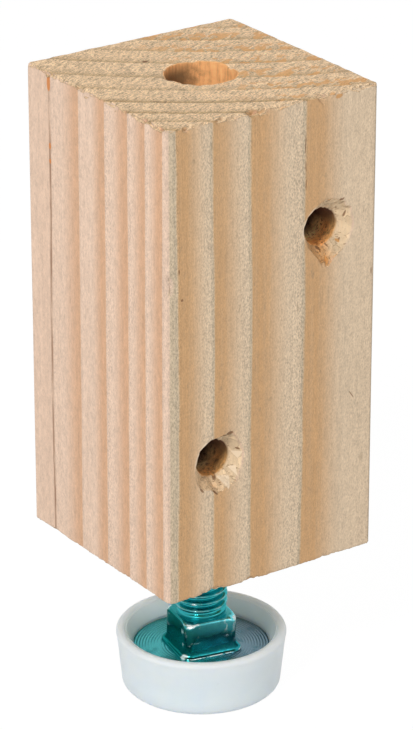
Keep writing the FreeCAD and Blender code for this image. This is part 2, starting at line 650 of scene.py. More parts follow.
@dataclass(frozen=True)
class ScrewHole:
    """A countersunk screw hole through the block.

    The mouth is a ragged polygon, each corner an angle in degrees and a distance from the hole's axis. Tear
    is the share of torn wood below the hole, and lip the reach of the painted highlight at its upper left.
    """

    across: float
    height: float
    radius: float
    mouth: tuple[Span, ...]
    tear: float
    lip: float
    sink: float = 2.5
    clean_edge: float = 5.6
    torn_reach: float = 1.1
    back_mouth: float = 3.7
    back_sink: float = 1.5
    ragged: float = 0.10
    ragged_cells: float = 4.0

    def angle(self, point: Vector) -> float:
        """Angle of a mesh point round the hole, from +X towards +Z."""
        return math.atan2(point.z / MM - self.height, point.x / MM - self.across)

    def distance(self, point: Vector) -> float:
        """Distance of a mesh point from the hole's axis."""
        return math.hypot(point.z / MM - self.height, point.x / MM - self.across)

    def edge(self, angle: float, side: Side) -> float:
        """Radius of the hole's ragged edge.

        Args:
            angle: Angle round the hole in radians.
            side: Face of the block.

        Returns:
            Radius of the edge at that angle.
        """
        across, up = self.ragged_cells * math.cos(angle), self.ragged_cells * math.sin(angle)
        rough = self.ragged * noise.noise((across, up, self.height))
        if side is Side.BACK:
            return self.back_mouth + rough
        return self._straight(angle) + rough

    def _straight(self, angle: float) -> float:
        """Distance from the axis to the mouth's polygon.

        Args:
            angle: Angle round the hole in radians.

        Returns:
            Distance to the side that the angle meets.
        """
        corners = [(math.radians(turn), reach) for turn, reach in self.mouth]
        for (first, near), (second, far) in zip(corners, corners[1:] + corners[:1]):
            width = (second - first) % FULL_TURN
            into = (angle - first) % FULL_TURN
            if into <= width:
                across = near * math.sin(into) + far * math.sin(width - into)
                return near * far * math.sin(width) / across
        raise ValueError("the mouth's corners don't go all round")

    def torn(self, angle: float) -> float:
        """Share of torn wood at an angle round the hole."""
        return min(1.0, max(0.0, self._straight(angle) - self.clean_edge) / self.torn_reach)


@dataclass(frozen=True)
class Mark:
    """A small mark on the front face: its middle, half its length, its lean in degrees and half its width."""

    across: float
    height: float
    reach: float
    lean: float
    width: float
    tone: MarkTone = MarkTone.DARK

    def beside(self, hole: ScrewHole, reach: float) -> bool:
        """Whether the mark is within reach of a hole."""
        return math.hypot(self.across - hole.across, self.height - hole.height) < reach

    def tint(self) -> Colour:
        """Colour of the mark's tone."""
        return {MarkTone.DARK: CRACK, MarkTone.CREAM: CREAM, MarkTone.TORN: TORN}[self.tone]

    def share(self, spot: Field) -> Field:
        """Share of the mark at each place, a triangle for a flake and an ellipse for the rest.

        Args:
            spot: Place in millimetres.

        Returns:
            1 in the mark and 0 beyond it.
        """
        offset = spot.vector("SUBTRACT", (self.across, 0.0, self.height))
        turned = offset.rotated("Y_AXIS", self.lean)
        scale = (1.0 / self.reach, 0.0, 1.0 / self.width)
        along, _, aside = turned.vector("MULTIPLY", scale).split()
        if self.tone is MarkTone.CREAM:
            sides = abs(aside) * FLAKE_SLOPE[0] + along * FLAKE_SLOPE[1]
            return sides.most(0.0 - along).fall(*FLAKE_EDGE)
        return (along * along + aside * aside).fall(*MARK_EDGE)


@dataclass(frozen=True)
class Blot:
    """A drop of resin in the left face: distance below the top, half its height and half its width."""

    below: float
    tall: float
    wide: float


@dataclass(frozen=True)
class PlanedSides:
    """Planed sides of the block: rings, fuzzy soft wood, and a line of resin in the smoother left face."""

    rings: RingPattern
    top: float
    early: Colour = (0.725, 0.56, 0.39)
    early_left: Colour = (0.79, 0.58, 0.44)
    late: Colour = (0.605, 0.362, 0.177)
    late_left: Colour = (0.68, 0.405, 0.245)
    late_share: float = 0.66
    late_band: float = 0.44
    late_mottle: float = 0.24
    late_left_loss: float = 0.04
    pale_until: float = 34.0
    pale_edges: Span = (0.3, 2.0)
    pale_loss: float = 0.85
    # grey of the painted shadow before each ring's dark edge, also laid as patches in the soft wood
    seam_and_shadow: Colour = (0.42, 0.36, 0.25)
    seam_width: float = 0.2
    seam_shadow_share: float = 0.35
    seam_shadow_mottle: float = 0.4
    seam_shadow_left_loss: float = 0.85
    corner: Colour = (0.61, 0.49, 0.34)
    corner_share: float = 0.8
    patch_share: float = 0.30
    patch_left_loss: float = 0.24
    fuzz_hard: float = 0.65
    fuzz_soft: float = 1.4
    fuzz_left_loss: float = 0.35
    hair_glint_gain: float = 0.10
    mottle_shade: float = 0.38
    mottle_left_gain: float = 0.16
    streak_shade: float = 0.24
    band_shade: float = 0.14
    speck: Colour = (0.32, 0.23, 0.14)
    speck_share: float = 0.35
    speck_left_loss: float = 0.2
    resin: Colour = (0.24, 0.11, 0.055)
    resin_depth: float = 28.3
    resin_share: float = 0.35
    resin_band: float = 0.8
    drop: Colour = (0.66, 0.22, 0.045)
    drop_wobble: float = 0.3
    drop_share: float = 0.85
    blots: tuple[Blot, ...] = (Blot(1.7, 1.9, 0.32), Blot(13.7, 0.7, 0.26), Blot(16.6, 0.5, 0.22))
    streak_relief: float = 0.35
    fuzz_relief: float = 0.5
    mottle_relief: float = 0.25
    seam_relief: float = 0.4
    streaks: Texture = Texture((2.3, 2.3, 0.09), 3.0, 0.65)
    bands: Texture = Texture((0.9, 0.9, 0.025), 2.0, 0.5)
    fuzz: Texture = Texture((4.0, 4.0, 2.2), 2.0, 0.65)
    mottle: Texture = Texture((1.4, 1.4, 0.7), 3.0, 0.6)
    hair_glints: Texture = Texture((3.2, 3.2, 1.0), 1.0)
    specks: Texture = Texture((1.0, 1.0, 0.35), 1.0)

    def dress(self, spot: Field, grain: Grain) -> tuple[Field, Field]:
        """Colour and relief of the sides.

        Args:
            spot: Place in millimetres.
            grain: Rings at each place.

        Returns:
            The colour, and the relief of the fibres.
        """
        left, soft = grain.left, grain.soft
        streak, band = self.streaks.on(spot), self.bands.on(spot)
        fuzz, mottle = self.fuzz.on(spot), self.mottle.on(spot)
        # painted shadow: a thin grey line just before each ring's dark edge, where the raised soft wood steps
        # down; the same share also sinks the relief there
        ahead = self.rings.level(self.rings.dark_stops(), grain.depth + self.seam_width)
        seam_and_shadow = (ahead - grain.dark).most(0.0)
        colour = self._ringed(grain, seam_and_shadow, band, mottle)

        rough = (self.fuzz_hard + self.fuzz_soft * soft) * (1.0 - self.fuzz_left_loss * left)
        # painted highlight: sparse pale flecks where raised fibres of the soft wood catch the light
        hair_glints = self.hair_glints.on(spot).rise(0.58, 0.70)
        shade = fuzz.swing() * rough + hair_glints * soft * self.hair_glint_gain
        shade = shade + mottle.swing() * (self.mottle_shade + self.mottle_left_gain * left)
        shade = 1.0 + shade + streak.swing() * self.streak_shade + band.swing() * self.band_shade
        colour = Field.shaded(colour, shade)
        specks = self.specks.on(spot).rise(0.73, 0.79)
        colour = Field.blend(colour, self.speck, specks * (self.speck_share - self.speck_left_loss * left))
        colour = self._resinous(colour, spot, grain, streak, band)
        relief = streak * self.streak_relief + fuzz * rough * self.fuzz_relief + mottle * self.mottle_relief
        return colour, relief - seam_and_shadow * self.seam_relief

    def _ringed(self, grain: Grain, seam_and_shadow: Field, band: Field, mottle: Field) -> Field:
        """Colour of the rings.

        Args:
            grain: Rings at each place.
            seam_and_shadow: Share of the thin grey line before each ring's dark edge.
            band: Broad bands along the grain.
            mottle: Small clouds.

        Returns:
            The colour before the fibres' shading.
        """
        left, depth = grain.left, grain.depth
        start, fade = self.pale_edges
        pale = left * depth.rise(self.resin_depth - start, self.resin_depth)
        pale = pale * depth.fall(self.pale_until - fade, self.pale_until)
        share = (grain.dark - left * self.late_left_loss).rise(0.02, 0.80)
        share = share * (self.late_share + self.late_band * band + self.late_mottle * mottle)
        early = Field.blend(self.early, self.early_left, left)
        late = Field.blend(self.late, self.late_left, left)
        colour = Field.blend(early, late, share * (1.0 - self.pale_loss * pale))
        line = seam_and_shadow * (self.seam_shadow_share + self.seam_shadow_mottle * mottle) * (1.0 - self.seam_shadow_left_loss * left)
        colour = Field.blend(colour, self.seam_and_shadow, line)
        corner = depth.fall(0.9, 1.3) * (self.corner_share - self.corner_share * left)
        colour = Field.blend(colour, self.corner, corner)
        patches = mottle.rise(0.52, 0.66) * (self.patch_share - self.patch_left_loss * left)
        return Field.blend(colour, self.seam_and_shadow, grain.soft * patches)

    def _resinous(self, colour: Field, spot: Field, grain: Grain, streak: Field,
                  band: Field) -> Field:
        """Lay the line of resin and its drops over the left face.

        Args:
            colour: Colour so far.
            spot: Place in millimetres.
            grain: Rings at each place.
            streak: Fine streaks along the grain.
            band: Broad bands along the grain.

        Returns:
            The colour.
        """
        _, _, height = spot.split()
        behind = grain.depth - self.resin_depth
        line = abs(behind).fall(0.08, 0.28) * grain.left * streak.rise(0.30, 0.55)
        colour = Field.blend(colour, self.resin, line * (self.resin_share + self.resin_band * band))
        for blot in self.blots:
            up = (height - (self.top - blot.below)) / blot.tall
            aside = (behind + band.swing() * self.drop_wobble) / blot.wide
            drop = (up * up + aside * aside).fall(0.55, 1.0) * grain.left
            colour = Field.blend(colour, self.drop, drop * self.drop_share)
        return colour


@dataclass(frozen=True)
class SawnEnds:
    """Sawn ends of the block: the saw's gritty strokes, dark ring lines, torn patches and one pit."""

    tone: Colour = (0.85, 0.61, 0.38)
    line: Colour = (0.38, 0.23, 0.085)
    line_power: float = 3.0
    line_share: float = 0.55
    line_grit: float = 0.7
    shade: float = 0.98
    stroke_shade: float = 1.5
    grit_shade: float = 2.6
    patch: Colour = (0.78, 0.38, 0.12)
    patch_share: float = 0.25
    patch_grit: float = 0.85
    pit: Span = (-4.7, 10.8)
    pit_share: float = 0.9
    stroke_relief: float = 0.55
    grit_relief: float = 0.45
    pit_relief: float = 0.5
    saw_turn: float = -26.0
    strokes: Texture = Texture((0.75, 2.3, 1.0), 2.0, 0.6)
    grit: Texture = Texture((3.0, 3.0, 3.0), 3.0, 0.75)
    patches: Texture = Texture((0.36, 0.50, 0.2), 2.0, 0.6)

    def dress(self, spot: Field, dark: Field) -> tuple[Field, Field]:
        """Colour and relief of the ends.

        Args:
            spot: Place in millimetres.
            dark: Share of dark wood.

        Returns:
            The colour, and the relief of the saw's strokes.
        """
        across, along, _ = spot.split()
        turned = spot.rotated("Z_AXIS", self.saw_turn)
        strokes, grit = self.strokes.on(turned), self.grit.on(spot)
        line = dark ** self.line_power * (self.line_share + self.line_grit * grit)
        colour = Field.blend(self.tone, self.line, line)
        shade = self.shade + strokes.swing() * self.stroke_shade + grit.swing() * self.grit_shade
        colour = Field.shaded(colour, shade)
        torn = self.patches.on(turned).rise(0.50, 0.56)
        torn = torn * across.rise(-6.0, 7.0) * dark.rise(0.04, 0.35)
        colour = Field.blend(colour, self.patch, torn * (self.patch_share + self.patch_grit * grit))
        aside, beyond = across - self.pit[0], along - self.pit[1]
        pit = ((aside * aside + beyond * beyond) ** 0.5).fall(0.3, 0.6)
        relief = strokes * self.stroke_relief + grit * self.grit_relief - pit * self.pit_relief
        return Field.blend(colour, CRACK, pit * self.pit_share), relief


@dataclass(frozen=True)
class TornGrain:
    """Torn wood: splinters along the grain, rungs across it, clumps, flakes and the gaps between them."""

    splinter: Field
    rung: Field
    clump: Field
    flake: Field
    gap: Field


@dataclass(frozen=True)
class HoleSpot:
    """A place by a screw hole: right of it, above, below, off its axis and behind the face."""

    hole: ScrewHole
    grain: TornGrain
    aside: Field
    above: Field
    below: Field
    away: Field
    sunk: Field


@dataclass(frozen=True)
class HoleMouth:
    """Countersink of a screw hole: raw flakes, torn and split below, with a painted highlight along the upper
    left edge.
    """

    raw: Colour = (0.78, 0.59, 0.38)

    def over(self, colour: Field, at: HoleSpot) -> Field:
        """Lay a countersink and the painted highlight along its upper left edge over the colour.

        Args:
            colour: Colour so far.
            at: Place, counted from the hole.

        Returns:
            The colour.
        """
        share = at.away.fall(7.6, 8.0) * at.sunk.rise(0.08, 0.55) * at.sunk.fall(4.0, 7.0)
        colour = Field.blend(colour, self._wood(at), share)
        # painted highlight: a pale line along the mouth's upper left edge, where the edge catches the light
        lip = at.away.fall(at.hole.lip - 0.3, at.hole.lip) * (0.0 - at.aside).rise(1.8, 3.0)
        lip = lip * at.sunk.fall(0.3, 0.6) * at.above.rise(-1.4, 0.2)
        return Field.blend(colour, CREAM, lip * 0.7)

    def _wood(self, at: HoleSpot) -> Field:
        """Colour of the raw wood.

        Args:
            at: Place, counted from the hole.

        Returns:
            The colour.
        """
        low = at.below.rise(1.0, 3.4) * at.aside.fall(0.2, 2.6) * at.hole.tear
        shade = 0.82 + 0.36 * at.grain.flake
        wood = Field.shaded(self.raw, shade - 0.14 * at.above.rise(0.5, 4.5))
        wood = Field.blend(wood, TORN, low * (0.35 + 0.85 * at.grain.splinter))
        splinter = at.grain.splinter.swing() * (0.45 + 1.1 * low)
        wood = Field.shaded(wood, 1.0 + splinter)
        along = at.grain.splinter.fall(0.31, 0.39) * low
        across = at.grain.rung.fall(0.32, 0.39) * at.below.rise(0.4, 2.4) * 0.75
        between = at.grain.gap * at.grain.rung.rise(0.48, 0.62) * 0.4
        return Field.blend(wood, CRACK, (along + across + between).least(0.85))


@dataclass(frozen=True)
class HoleInside:
    """Wall of a screw hole: painted shade, dark above and further in; fibres pulled loose below, painted
    lighter deeper.
    """

    wall: Colour = (0.50, 0.31, 0.12)
    fibre: Colour = (0.95, 0.42, 0.13)
    deep_fibre_painted_light: Colour = (1.0, 0.72, 0.34)

    def over(self, colour: Field, at: HoleSpot) -> Field:
        """Lay a hole's wall over the colour.

        Args:
            colour: Colour so far.
            at: Place, counted from the hole.

        Returns:
            The colour.
        """
        clump = at.grain.clump
        # painted shade: the wall keeps its lit colour low in the mouth and darkens towards the top and
        # further in
        lit = at.sunk.fall(2.4, 9.0) * at.below.rise(-3.2, 2.2)
        wall = Field.blend(DEEP_SHADE, self.wall, lit)
        wall = Field.shaded(wall, 0.3 + 1.4 * clump)
        # painted light: the pulled fibres turn paler further in, to make up for the little light that reaches
        # them there
        fibre = Field.blend(self.deep_fibre_painted_light, self.fibre, at.sunk.fall(4.5, 7.5))
        fibre = Field.shaded(fibre, -0.2 + 2.6 * clump)
        fibre = Field.blend(fibre, CRACK, clump.fall(0.36, 0.43) * 0.8)
        tear = 0.3 + 0.7 * at.hole.tear
        pulled = at.below.rise(-0.4, 1.8) * at.sunk.fall(6.0, 10.5) * tear
        clean = at.aside.rise(0.6, 2.6) * at.sunk.fall(4.0, 6.0)
        wall = Field.blend(wall, fibre, pulled * (1.0 - 0.6 * clean))
        return Field.blend(colour, wall, at.away.fall(3.75, 4.1) * at.sunk.rise(2.2, 2.65))


@dataclass(frozen=True)
class BoreWall:
    """Wall of the bolt's bore: ribbed by the drill, painted shadow on the side turned from the light, painted
    shade further down.
    """

    radius: float
    top: float
    wall: Colour = (0.98, 0.515, 0.212)
    # colour of the painted shadow on the side of the wall turned from the light
    dull: Colour = (0.25, 0.14, 0.06)
    ribs: Texture = Texture((1.5, 1.5, 0.10), 3.0, 0.7)
    chatter: Texture = Texture((0.9, 0.9, 0.9), 3.0, 0.65)
    shadow_side: Span = (0.82, -0.57)

    def over(self, colour: Field, spot: Field) -> Field:
        """Lay the bore's wall over the colour.

        Args:
            colour: Colour so far.
            spot: Place in millimetres.

        Returns:
            The colour.
        """
        across, along, height = spot.split()
        below_top = height - self.top
        rib, chatter = self.ribs.on(spot), self.chatter.on(spot)
        shade = 0.08 + 1.2 * rib + 0.65 * chatter
        wall = Field.shaded(self.wall, shade)
        wall = Field.blend(wall, CRACK, rib.fall(0.28, 0.36) * 0.8)
        # painted shadow: near the top, the side of the wall that turns from the light takes the dull colour
        turned = across * self.shadow_side[0] + along * self.shadow_side[1] + chatter.swing() * 5.0
        dull = turned.fall(-4.0, 1.5) * below_top.fall(-2.5, 0.5)
        wall = Field.blend(wall, self.dull, dull)
        # painted shade: the wall darkens further down the bore
        wall = Field.blend(DEEP_SHADE, wall, below_top.rise(-26.0, -6.0))
        flat = spot.vector("MULTIPLY", (1.0, 1.0, 0.0)).length()
        return Field.blend(colour, wall, (flat - self.radius).fall(0.1, 0.35))


@dataclass(frozen=True)
class DrilledWood:
    """What tools left on the block (screw holes, bore, front marks) and the painted shade and highlight in
    them.
    """

    holes: tuple[ScrewHole, ...]
    bore_radius: float
    half_side: float
    top: float
    splinters: Texture = Texture((2.4, 2.4, 0.7), 3.0, 0.7)
    rungs: Texture = Texture((0.8, 0.8, 3.4), 2.0, 0.6)
    clumps: Texture = Texture((1.5, 1.5, 1.1), 3.0, 0.7)
    flake_cells: Triple = (0.62, 0.45, 0.50)
    mark_reach: float = 8.0
    mark_share: float = 0.8
    marks: tuple[Mark, ...] = (
        Mark(17.6, 62.8, 1.05, -55.0, 0.12), Mark(21.6, 86.1, 0.8, 90.0, 0.15),
        Mark(6.70, 113.2, 2.2, 89.0, 0.12), Mark(6.78, 109.0, 1.2, 91.0, 0.10),
        Mark(6.86, 105.6, 1.3, 88.0, 0.11), Mark(-19.6, 89.9, 0.3, 0.0, 0.30),
        Mark(-20.2, 95.3, 0.6, 90.0, 0.15), Mark(16.2, 97.9, 0.8, 80.0, 0.20),
        Mark(14.9, 101.1, 0.7, 40.0, 0.20), Mark(12.3, 101.3, 0.6, 25.0, 0.16),
        Mark(11.1, 92.1, 0.8, -40.0, 0.30), Mark(12.9, 92.4, 0.5, -60.0, 0.18),
        Mark(15.2, 93.1, 0.5, 60.0, 0.14), Mark(-9.0, 61.8, 0.6, 50.0, 0.45),
        Mark(-11.4, 53.2, 0.6, 60.0, 0.50), Mark(-9.7, 61.0, 0.6, 30.0, 0.15),
        Mark(-7.1, 58.2, 0.4, -30.0, 0.25), Mark(-15.4, 52.3, 0.7, -50.0, 0.25),
        Mark(-12.4, 51.1, 0.7, -45.0, 0.22), Mark(-7.1, 57.1, 0.60, -85.0, 0.55, MarkTone.CREAM),
        Mark(-7.8, 54.2, 0.75, -75.0, 0.45, MarkTone.CREAM),
        Mark(-9.7, 52.5, 0.85, 30.0, 0.95, MarkTone.CREAM),
        Mark(13.9, 120.7, 0.9, 10.0, 0.45, MarkTone.TORN), Mark(12.0, 90.0, 0.9, 80.0, 0.35, MarkTone.TORN),
        Mark(15.0, 92.9, 0.3, 20.0, 0.35, MarkTone.TORN),
    )

    def over(self, colour: Field, spot: Field) -> Field:
        """Lay the drilled wood and the marks over the colour of the block's outside.

        Args:
            colour: Colour of the block's outside.
            spot: Place in millimetres.

        Returns:
            The colour.
        """
        grain = self._grain(spot)
        for hole in self.holes:
            at = self._from(spot, hole, grain)
            beside = [mark for mark in self.marks if mark.beside(hole, self.mark_reach)]
            colour = HoleMouth().over(colour, at)
            colour = self._marked(colour, beside, spot)
            colour = HoleInside().over(colour, at)
        lone = [mark for mark in self.marks
                if not any(mark.beside(hole, self.mark_reach) for hole in self.holes)]
        colour = self._marked(colour, lone, spot)
        return BoreWall(self.bore_radius, self.top).over(colour, spot)

    def _grain(self, spot: Field) -> TornGrain:
        """Textures of the torn wood.

        Args:
            spot: Place in millimetres.

        Returns:
            The textures.
        """
        flake = spot.flakes(self.flake_cells, "F1", "Color") * 1.0
        gap = spot.flakes(self.flake_cells, "DISTANCE_TO_EDGE", "Distance").fall(0.02, 0.07)
        splinter, rung = self.splinters.on(spot), self.rungs.on(spot)
        return TornGrain(splinter, rung, self.clumps.on(spot), flake, gap)

    def _from(self, spot: Field, hole: ScrewHole, grain: TornGrain) -> HoleSpot:
        """Where a place lies from a hole.

        Args:
            spot: Place in millimetres.
            hole: Hole to count from.
            grain: Torn wood at the place.

        Returns:
            The place, counted from the hole.
        """
        across, along, height = spot.split()
        aside, above = across - hole.across, height - hole.height
        away = (aside * aside + above * above) ** 0.5
        return HoleSpot(hole, grain, aside, above, 0.0 - above, away, along + self.half_side)

    def _marked(self, colour: Field, marks: Sequence[Mark], spot: Field) -> Field:
        """Lay marks over the colour.

        Args:
            colour: Colour so far.
            marks: Marks to lay over it.
            spot: Place in millimetres.

        Returns:
            The colour.
        """
        _, along, _ = spot.split()
        front = (along + self.half_side).fall(3.0, 4.0) * self.mark_share
        for mark in marks:
            colour = Field.blend(colour, mark.tint(), mark.share(spot) * front)
        return colour


@dataclass(frozen=True)
class PineFinish(Finish):
    """Bare pine that runs through the solid, so that its rings meet at every edge."""

    name: ClassVar[str] = "bare_pine"
    rings: RingPattern
    holes: tuple[ScrewHole, ...]
    bore_radius: float
    half_side: float
    top: float
    arris_painted_shade: float = 0.13
    stroke_gain: float = 2.6
    relief: float = 0.2
    roughness: float = 0.76
    soft_roughness: float = 0.10
    dark_gloss: float = 0.10
    specular: float = 0.3

    def sockets(self, graph: NodeGraph) -> dict[str, Any]:
        """Work out the shader.

        Args:
            graph: Graph to add to.

        Returns:
            Values and links of the shader, by socket.
        """
        spot = graph.spot()
        facing_x, facing_y, facing_z = graph.facing().split()
        ends = abs(facing_z).rise(0.45, 0.75)
        left = (0.0 - facing_x).rise(0.3, 0.8)
        grain = self.rings.grain(spot, left)
        sides, fibre = PlanedSides(self.rings, self.top).dress(spot, grain)
        # painted shade: the rounded arris is darkened, as it faces the lamps more than the faces beside it
        arris = abs(facing_x * facing_y).rise(0.10, 0.40)
        sides = Field.shaded(sides, 1.0 - self.arris_painted_shade * arris)
        sawn, strokes = SawnEnds().dress(spot, grain.dark)
        drilled = DrilledWood(self.holes, self.bore_radius, self.half_side, self.top)
        relief = fibre * (1.0 - ends) + strokes * ends * self.stroke_gain
        return {
            "Base Color": drilled.over(Field.blend(sides, sawn, ends), spot),
            "Roughness": self.roughness + self.soft_roughness * grain.soft - self.dark_gloss * grain.dark,
            "Normal": relief.bump(self.relief),
            "Specular IOR Level": self.specular,
        }


# Pine block


@dataclass(frozen=True)
class Chip:
    """A bit that broke off an end's edge: the edge, its place along it, half its width and its depth."""

    edge: TopEdge
    place: float
    width: float
    depth: float


@dataclass(frozen=True)
class Nick:
    """A bit that broke off the front arris: its height, half its length and its depth."""

    height: float
    reach: float
    depth: float


@dataclass
class PineBlock:
    """The square pine block: its skin, its broken edges and its holes."""

    record: dict[str, Any]
    rings: RingPattern = RingPattern()
    bore_radius: float = 6.5
    arris: float = 0.8
    arris_steps: int = 6
    fine_step: float = 0.36
    side_step: float = 0.45
    coarse_step: float = 1.0
    edge_step: float = 0.25
    edge_zone: float = 2.5
    hole_zone: float = 9.0
    plain_step: float = 0.9
    bore_steps: tuple[Span, ...] = ((2.0, 0.2), (14.0, 0.6))
    bore_plain_step: float = 6.0
    top_shares: Span = (0.014, 0.026)
    top_fine_zone: float = 0.12
    base_shares: Span = (0.02, 0.09)
    base_fine_zone: float = 0.06
    ring_relief: float = 0.05
    fibre_relief: float = 0.02
    fibre_noise: MeshNoise = MeshNoise((1.4, 1.4, 0.06), 3.0)
    sawn_relief: float = 0.18
    stroke_noise: MeshNoise = MeshNoise((0.9, 0.9, 0.9), 11.0)
    worn_top: float = 0.55
    top_seed: float = 31.0
    worn_base: float = 0.26
    base_seed: float = 57.0
    hidden_wear: float = 0.22
    wear_base: float = 0.35
    wear_fine: float = 1.8
    wear_fine_cells: Triple = (1.1, 1.1, 1.0)
    wear_broad: float = 2.2
    wear_broad_cells: Triple = (0.30, 0.30, 1.0)
    wear_broad_seed: float = 7.0
    break_noise: MeshNoise = MeshNoise((1.3, 1.3, 0.9), 23.0)
    break_rough: float = 0.8
    bore_margin: float = 2.0
    bore_rim: float = 1.1
    rim_base: float = 0.25
    rim_rough: float = 1.3
    rim_least: float = 0.05
    rim_noise: MeshNoise = MeshNoise((0.55, 0.55, 0.0), 71.0)
    nick_noise: MeshNoise = MeshNoise((1.2, 1.2, 0.5), 41.0)
    nick_rough: float = 0.7
    nick_width: float = 1.6
    on_face: float = 0.5
    sink_rings: int = 13
    sink_curve: float = 0.9
    sink_rough: float = 0.45
    inner_depths: tuple[float, ...] = (2.7, 3.1, 3.7, 4.5, 5.6, 7.2, 9.5, 13.0)
    inner_rough: float = 0.25
    fibre_cells: Triple = (2.1, 1.6, 0.5)
    least_torn: float = 0.12
    least_depth: float = 0.06
    chips: tuple[Chip, ...] = (
        Chip(TopEdge.FRONT, -4.0, 2.6, 1.7), Chip(TopEdge.FRONT, -11.0, 1.8, 1.1),
        Chip(TopEdge.FRONT, 10.5, 1.5, 1.5), Chip(TopEdge.FRONT, 18.5, 3.2, 1.0),
        Chip(TopEdge.LEFT, 12.0, 1.8, 1.0), Chip(TopEdge.LEFT, 3.0, 2.2, 1.3),
        Chip(TopEdge.LEFT, -6.0, 1.8, 1.1), Chip(TopEdge.LEFT, -14.5, 2.2, 1.4),
    )
    base_chips: tuple[Chip, ...] = (
        Chip(TopEdge.FRONT, -13.0, 3.4, 1.0), Chip(TopEdge.FRONT, -4.5, 2.2, 0.8),
        Chip(TopEdge.FRONT, 12.0, 2.0, 0.5), Chip(TopEdge.LEFT, -12.0, 2.0, 0.6),
        Chip(TopEdge.LEFT, 6.0, 1.6, 0.4),
    )
    nicks: tuple[Nick, ...] = (Nick(92.8, 2.4, 0.8), Nick(110.0, 1.6, 0.3), Nick(70.5, 2.2, 0.25))
    upper_mouth: tuple[Span, ...] = (
        (-176.0, 5.1), (-150.0, 4.9), (-118.0, 5.2), (-98.0, 6.95), (-88.0, 6.95), (-74.0, 5.7),
        (-44.0, 5.9), (-26.0, 6.0), (4.0, 5.9), (33.0, 6.2), (59.0, 6.3), (93.0, 6.0), (110.0, 5.6),
        (142.0, 5.6), (165.0, 5.4),
    )
    upper_tear: float = 1.0
    upper_highlight_reach: float = 5.75
    lower_mouth: tuple[Span, ...] = (
        (-163.0, 5.4), (-146.0, 5.8), (-127.0, 6.1), (-109.0, 5.4), (-95.0, 6.4), (-70.0, 5.8),
        (-52.0, 6.2), (-22.0, 5.6), (9.0, 5.5), (36.0, 5.4), (64.0, 6.3), (75.0, 5.3), (97.0, 4.8),
        (111.0, 5.0), (143.0, 5.2), (178.0, 5.1),
    )
    lower_tear: float = 0.35
    lower_highlight_reach: float = 5.4

    def __post_init__(self) -> None:
        """Take the block's size and its holes from the frame."""
        low, high = box_mm("wood_block")
        self.half = float(high[0])
        self.bottom, self.top = float(low[2]), float(high[2])
        mounts = {mount["name"]: mount for mount in self.record["mounts"]}
        self.holes = (
            self._hole(mounts["upper_screw_hole"], self.upper_mouth, self.upper_tear, self.upper_highlight_reach),
            self._hole(mounts["lower_screw_hole"], self.lower_mouth, self.lower_tear, self.lower_highlight_reach),
        )

    def _hole(self, mount: dict[str, Any], mouth: tuple[Span, ...], tear: float, lip: float) -> ScrewHole:
        """Screw hole of one of the record's mounts, with its ragged mouth, its torn wood and the reach of its
        painted highlight.
        """
        across, _, height = (place / MM for place in mount["pos_m"])
        return ScrewHole(across, height, mount["dims"]["r_mm"], mouth, tear, lip)

    def build(self) -> bpy.types.Object:
        """Build and dress the block.

        Returns:
            The piece.
        """
        mesh = self._skin()
        self._drill(mesh)
        finish = PineFinish(self.rings, self.holes, self.bore_radius, self.half, self.top)
        return add_piece("pine_block", mesh, "block", "wood_block", finish.material())

    def _outline(self) -> tuple[np.ndarray, np.ndarray]:
        """Section of the block, with finer steps on the two sides that the photograph shows.

        Returns:
            Points round the section, and the outward direction at each.
        """
        straight = self.half - self.arris
        steps = (self.fine_step, self.coarse_step, self.coarse_step, self.side_step)
        points, outwards = [], []
        for quarter, step in enumerate(steps):
            turn = quarter * QUARTER_TURN
            facing = np.array([math.sin(turn), -math.cos(turn)])
            forward = np.array([math.cos(turn), math.sin(turn)])
            for place in even(-straight, straight, step)[:-1]:
                points.append(facing * self.half + forward * place)
                outwards.append(facing)
            for bend in np.linspace(0.0, QUARTER_TURN, self.arris_steps + 1)[:-1]:
                out = facing * math.cos(bend) + forward * math.sin(bend)
                points.append((facing + forward) * straight + out * self.arris)
                outwards.append(out)
        return np.array(points), np.array(outwards)

    def _wall_step(self, height: float) -> float:
        """Spacing of the rings down the sides, fine at the ends and beside the holes.

        Args:
            height: Height of the ring.

        Returns:
            The spacing there.
        """
        if min(self.top - height, height - self.bottom) < self.edge_zone:
            return self.edge_step
        if min(abs(height - hole.height) for hole in self.holes) < self.hole_zone:
            return self.fine_step
        return self.plain_step

    def _bore_step(self, height: float) -> float:
        """Spacing of the rings up the bore: fine at the top rim, coarse where nothing shows."""
        below = self.top - height
        return next((step for zone, step in self.bore_steps if below < zone), self.bore_plain_step)

    def _top_step(self, share: float) -> float:
        """Spacing of the rings over the top, fine at both edges, as a share of the way out."""
        return self.top_shares[0] if min(share, 1.0 - share) < self.top_fine_zone else self.top_shares[1]

    def _base_step(self, share: float) -> float:
        """Spacing of the rings over the base, fine at the outer edge, as a share of the way in."""
        return self.base_shares[0] if share < self.base_fine_zone else self.base_shares[1]

    def _skin(self) -> bpy.types.Mesh:
        """Skin of the block with its bore, worn edges and relief, before the screw holes.

        Returns:
            The mesh.
        """
        outline, outwards = self._outline()
        angle = np.arctan2(outline[:, 1], outline[:, 0])
        circle = self.bore_radius * np.stack([np.cos(angle), np.sin(angle)], axis=1)
        skin = RingSkin(RingEnds.LOOP)
        for height in graded(self.bottom, self.top, self._bore_step)[:-1]:
            skin.add(circle[:, 0], circle[:, 1], height)
        for share in graded(0.0, 1.0, self._top_step)[:-1]:
            ring = circle + (outline - circle) * share
            skin.add(ring[:, 0], ring[:, 1], self.top)
        for height in graded(self.top, self.bottom, self._wall_step)[:-1]:
            skin.add(outline[:, 0], outline[:, 1], height)
        for share in graded(0.0, 1.0, self._base_step)[:-1]:
            ring = outline + (circle - outline) * share
            skin.add(ring[:, 0], ring[:, 1], self.bottom)
        points = skin.points()
        self._wear(points, outline, outwards)
        return skin.mesh("pine_block", points)

